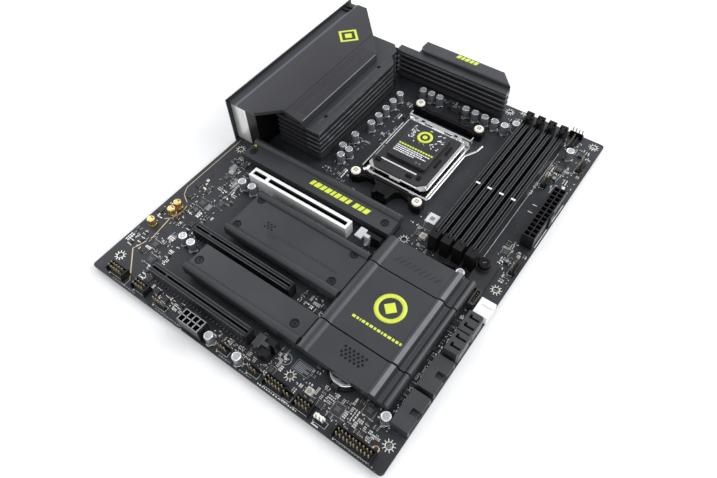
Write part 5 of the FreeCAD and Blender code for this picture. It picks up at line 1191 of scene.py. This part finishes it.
def rear_port_details():
    """Jack collars, contact tongues, shield vents and plain port marks."""
    made = Mesh("dark_print", "gold", "red_plastic", "blue_plastic", "silk", "black_plastic", "lime_plastic",
                "brushed")
    jack_levels, jack_columns, colours = (6.5, 18.0, 29.5), (157.5, 169.5), (5, 3, 6, 5, 2)
    usb_stacks, usb_levels, lan_y = (223.75, 243.75), (5.4, 12.6, 19.8, 26.6), 203.5
    video_levels, tongue_depth, shield_face = (4.8, 12.2), (-0.55, 7.6), -1.5
    for k, (y, z) in enumerate([(y, z) for y in jack_columns for z in jack_levels][:-1]):
        collar = ((1.8, -2.0), (3.0, -2.0), (3.0, -2.4), (1.85, -2.4), (1.85, -2.0))
        made.turned(y, z, collar, colours[k], 28, "x", False)
    made.box(-2.3, -2.0, 165.9, 173.1, 25.9, 33.1, 5)
    made.turned(169.5, 29.5, ((1.4, -2.36), (1.4, -2.3)), 2, 20, "x")
    for middle in usb_stacks:
        for level in usb_levels:
            tongue = 3 if level > 10 else 2
            made.box(*tongue_depth, middle - 5.3, middle + 5.3, level - 0.95, level + 0.95, tongue)
            for k in range(4):
                y = middle + (k - 1.5) * 2.5
                made.box(-0.3, 7.4, y - 0.5, y + 0.5, level - 1.05, level - 0.9, 1)
    for level in usb_levels[:2]:
        made.box(*tongue_depth, lan_y - 5.3, lan_y + 5.3, level - 0.95, level + 0.95, 3)
    for k in range(8):
        y = lan_y + (k - 3.5) * 1.1
        made.box(-0.6, 8.0, y - 0.2, y + 0.2, 26.9, 27.2, 1)
    for level in video_levels:
        made.box(*tongue_depth, 258.2, 269.4, level - 0.75, level + 0.75, 5)
    # vent openings and plain marks of the shield
    for i in range(9):
        for j in range(3):
            y, z = 256.6 + i * 3.0 - 1.5 * (j % 2), 22.0 + j * 2.7
            made.turned(y, z, ((1.15, shield_face - THIN), (1.15, shield_face)), 0, 6, "x")
    for y, z, wide in ((157, 39.0, 8), (185, 39.0, 6), (203, 36.0, 8), (223, 34.5, 8), (243, 34.5, 8),
                       (264, 19.5, 9), (280, 19.5, 5), (292, 19.5, 5), (298.5, 32, 4)):
        made.box(shield_face - FLAT, shield_face, y - wide / 2, y + wide / 2, z - 0.5, z + 0.5, 4)
    for y in (149.0, 303.6):
        made.box(shield_face - 0.4, shield_face, y - 0.5, y + 0.5, -1.0, 38.0, 7)
    made.build("rear_port_details")
    threads = Mesh("gold")
    for z in (11.0, 26.0):
        for k in range(9):
            x = -7.6 + k * 0.62
            threads.turned(185.5, z, ((3.02, x), (3.22, x + 0.16), (3.02, x + 0.32)), 0, 28, "x", False)
        nut = ((3.4, -2.1), (4.3, -2.1), (4.3, -1.55), (3.4, -1.55), (3.4, -2.1))
        threads.turned(185.5, z, nut, 0, 6, "x", False)
    threads.build("aerial_jack_threads")


# ---------------------------------------------------------------- underside

def underside():
    """Solder joints of every through-hole part, and the plain marks under the board."""
    joints = Mesh("tin", "silk", "silk_grey", "dark_part", "pale_ceramic", "dark_print")
    low = -THICK

    def joint(x, y, radius=0.62, drop=0.7):
        cone = ((radius * 0.3, low - drop), (radius * 0.55, low - drop * 0.55), (radius, low))
        joints.turned(x, y, cone, 0, 8)

    for x, y, _ in centres(solids_of("pin_header_pins")):
        joint(x, y)
    for node in POWER_GRIDS:
        for *_, pins in power_grids(node):
            for x, y in pins:
                joint(x, y, 1.05, 1.0)
    for x, y, _ in centres(FOOTPRINTS["polymer_capacitors"] + FOOTPRINTS["audio_capacitors"]):
        for side in (-1, 1):
            joint(x + side * 1.25, y, 0.7, 0.7)
    for number in "123":
        x0, x1, y0, y1, _, _ = longest("pcie_slot_" + number)
        for k in range(int((x1 - x0 - 4) / 2.0)):
            for row in (-2.4, -0.8, 0.8, 2.4):
                joint(x0 + 2.6 + 2.0 * k + (1.0 if abs(row) > 1 else 0.0), (y0 + y1) / 2 + row, 0.45, 0.5)
    for y in (151.0, 176.0, 195.0, 212.0, 216.0, 231.5, 236.0, 251.5, 255.5, 272.0):
        for x in (4.0, 12.0, 19.0):
            joint(x, y + (1.6 if y in (151.0, 195.0, 216.0, 236.0, 255.5) else -1.6), 1.2, 1.0)
    for x0, x1, y0, y1, _, _ in FOOTPRINTS["usb_headers"]:
        for k in range(10):
            for side in (0.3, 0.6):
                joint(x0 + (x1 - x0) * side, y0 + 2.0 + k * (y1 - y0 - 4.0) / 9, 0.5, 0.5)
    placed = [(x - 5.5, x + 5.5, y - 5.5, y + 5.5, 0, 0) for x, y in STANDOFFS]
    placed.append((96.0, 166.0, 160.0, 266.0, 0, 0))
    placed += [(b[0] - 1, b[1] + 1, b[2] - 1, b[3] + 1, 0, 0) for boxes in FOOTPRINTS.values() for b in boxes]
    for _ in range(900):
        x, y = random.uniform(3, BOARD_WIDTH - 3), random.uniform(3, BOARD_LENGTH - 3)
        along = random.random() < 0.5
        dx, dy = (1.1, 0.5) if along else (0.5, 1.1)
        if taken(x - dx, x + dx, y - dy, y + dy, placed, 0.3):
            continue
        placed.append((x - dx, x + dx, y - dy, y + dy, 0, 0))
        turn = 0 if along else 90
        joints.bar(x, y, 2.1, 0.9, turn, low - 0.06, low, 0)
        joints.bar(x, y, 1.0, 0.78, turn, low - 0.5, low, 3 if random.random() < 0.5 else 4)
        for side in (-1, 1):
            joints.bar(x + (side * 0.65 if along else 0), y + (0 if along else side * 0.65), 0.34, 0.82, turn,
                       low - 0.52, low, 0)
    for k in range(60):
        x, y = random.uniform(8, 230), random.uniform(8, 296)
        if not taken(x - 3, x + 3, y - 1, y + 1, placed, 0.3):
            joints.bar(x, y, random.uniform(1.5, 5.0), 0.5, random.choice((0, 90)), low - PRINT, low, 1)
    for x, y, wide, deep in ((60.0, 62.0, 24.0, 9.0), (200.0, 240.0, 9.0, 20.0)):
        joints.bar(x, y, wide, deep, 0, low - 0.1, low, 1)
        for k in range(7):
            stripe = x - wide / 2 + 2 + k * (wide - 4) / 6
            joints.bar(stripe, y, 0.5 + 0.3 * (k % 3), deep * 0.5, 0, low - 0.12, low - 0.1, 5)
    joints.build("underside_parts")
    plate = Mesh("dark_screw", "dull_print")
    base = board_box("socket_backplate")[4]
    for x, y, _ in centres(solids_of("bracket_screws")):
        plate.ring(x, y, 2.2, 3.6, base - 0.5, base + 0.1, 0, 30)
    for x, y, wide, deep in ((0, 36.0, 22, 1.6), (0, -36.0, 22, 1.6), (24, 0, 1.6, 40), (-24, 0, 1.6, 40)):
        plate.bar(SOCKET_X + x, SOCKET_Y + y, wide, deep, 0, base - 0.3, base + 0.05, 0)
    plate.bar(SOCKET_X, SOCKET_Y + 24.0, 16, 5, 0, base - 0.06, base + 0.02, 1)
    plate.build("backplate_details", rounding=0.12)


# ---------------------------------------------------------------- cell, buttons and latches

def small_details():
    """Cell marks and clip, button marks, and grips on the latches."""
    x, y, top = centres([board_box("coin_cell")])[0]
    cell = Mesh("cell", "dull_print")
    cell.ring(x, y, 8.6, 8.9, top - 0.02, top + FLAT, 0, 48)
    cell.bar(x, y - 6.4, 2.4, 0.4, 0, top, top + HAIR, 1)
    cell.bar(x, y - 6.4, 0.4, 2.4, 0, top, top + HAIR, 1)
    cell.build("cell_marks")
    clip = Mesh("dark_steel")
    clip.box(x - 2.2, x + 2.2, y - 13.0, y - 12.2, 0.0, 3.0)
    clip.box(x - 2.2, x + 2.2, y - 12.2, y - 9.9, top, top + 0.3)
    clip.box(x - 2.2, x + 2.2, y - 12.4, y - 11.9, 0.0, top + 0.3)
    clip.build("cell_clip", rounding=0.12)
    x, y, top = centres([board_box("release_button")])[0]
    button = Mesh("gloss_plastic", "dull_print")
    button.ring(x, y, 3.0, 3.3, top - 0.02, top + 0.08, 0, 36)
    button.bar(x, y, 2.6, 0.45, 45, top, top + THIN, 1)
    button.build("release_button_ring", "release_button")
    for name in ("settings_button", "firmware_button"):
        x0, x1, y0, y1, z0, z1 = board_box(name)
        face = Mesh("dull_print")
        face.turned((y0 + y1) / 2, (z0 + z1) / 2, ((0.9, x0 - 0.05), (0.9, x0)), 0, 20, "x")
        face.build(name + "_dot", name)
    for number in "1234":
        x0, x1, y0, y1, z0, z1 = board_box("dimm_latch_" + number)
        grip = Mesh("black_plastic")
        for k in range(3):
            grip.box(x0 + 0.5, x1 - 0.5, y1 - 2.6 + 0.9 * k, y1 - 2.2 + 0.9 * k, z1 - 0.05, z1 + 0.22)
        grip.build("dimm_latch_grip_" + number, "dimm_latch_" + number)
    for number in "13":
        x0, x1, y0, y1, z0, z1 = board_box("pcie_latch_" + number)
        grip = Mesh("pale_grip" if number == "1" else "grey_plastic")
        for k in range(3):
            grip.box(x0 + 0.6 + 1.2 * k, x0 + 1.1 + 1.2 * k, y0 + 0.6, y1 - 0.6, z1 - 0.05, z1 + 0.25)
        grip.build("pcie_latch_grip_" + number, "pcie_latch_" + number)


star_pads()
silkscreen()
gold_line()
printed_squares()
small_parts()
chip_legs()
capacitor_tops()
socket_contacts()
load_plate_details()
cap_print()
bracket_details()
slot_contacts()
connector_pins()
header_extras()
cover_lines()
heatsink_marks()
rear_port_details()
underside()
small_details()

# ---------------------------------------------------------------- camera, light and floor

CAMERA_PLACE = Vector((0.1721, -0.2253, 0.3442))
CAMERA_AIM = Vector((0.0162, -0.0285, 0.0))
CAMERA_ROLL = -2.91
camera_data = bpy.data.cameras.new("camera")
camera_data.sensor_width = 36.0
camera_data.lens = 30.27
camera_data.clip_start = 0.01
camera = bpy.data.objects.new("camera", camera_data)
bpy.context.scene.collection.objects.link(camera)
level = (CAMERA_AIM - CAMERA_PLACE).to_track_quat("-Z", "Y").to_matrix()
roll = Matrix.Rotation(math.radians(CAMERA_ROLL), 3, "Z")
camera.matrix_world = Matrix.Translation(CAMERA_PLACE) @ (level @ roll).to_4x4()
bpy.context.scene.camera = camera


def soft_light(name, place, aim, side, watts, colour=(1, 1, 1)):
    data = bpy.data.lights.new(name, "AREA")
    data.shape = "RECTANGLE"
    data.size, data.size_y = side
    data.energy = watts
    data.color = colour
    light = bpy.data.objects.new(name, data)
    light.location = place
    light.rotation_euler = (Vector(aim) - Vector(place)).to_track_quat("-Z", "Y").to_euler()
    bpy.context.scene.collection.objects.link(light)


# Each light: where it stands, what it faces, its sides, its power and its tint.
soft_light("key", (0.75, 0.65, 0.85), (0, 0, 0), (1.0, 0.8), 9.0, (0.98, 0.99, 1.0))
soft_light("fill", (0.55, -0.85, 0.55), (0, 0, 0), (1.0, 0.7), 3.8)
soft_light("left", (-1.1, 0.15, 0.55), (0, 0, 0), (0.35, 1.2), 4.0, (0.96, 0.98, 1.0))
soft_light("far", (0.0, 1.2, 0.5), (0, 0, 0), (1.4, 0.3), 3.5, (0.96, 0.98, 1.0))

world = bpy.data.worlds.new("studio")
world.use_nodes = True
background = world.node_tree.nodes["Background"]
background.inputs["Color"].default_value = (0.96, 0.97, 1.0, 1.0)
background.inputs["Strength"].default_value = 0.75
bpy.context.scene.world = world
bpy.context.scene.view_settings.view_transform = "Standard"

floor_data = bpy.data.meshes.new("floor")
span = 4.0
floor_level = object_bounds()[0].z
floor_data.from_pydata([(-span, -span, floor_level), (span, -span, floor_level), (span, span, floor_level),
                        (-span, span, floor_level)], [], [(0, 1, 2, 3)])
floor = bpy.data.objects.new("floor", floor_data)
floor_look = Finish("floor_paper", (0.93, 0.93, 0.93), rough=0.9, vary=0.01, grain=300.0, bump=0.02,
                    specular=0.1)
floor_data.materials.append(floor_look.material)
bpy.context.scene.collection.objects.link(floor)
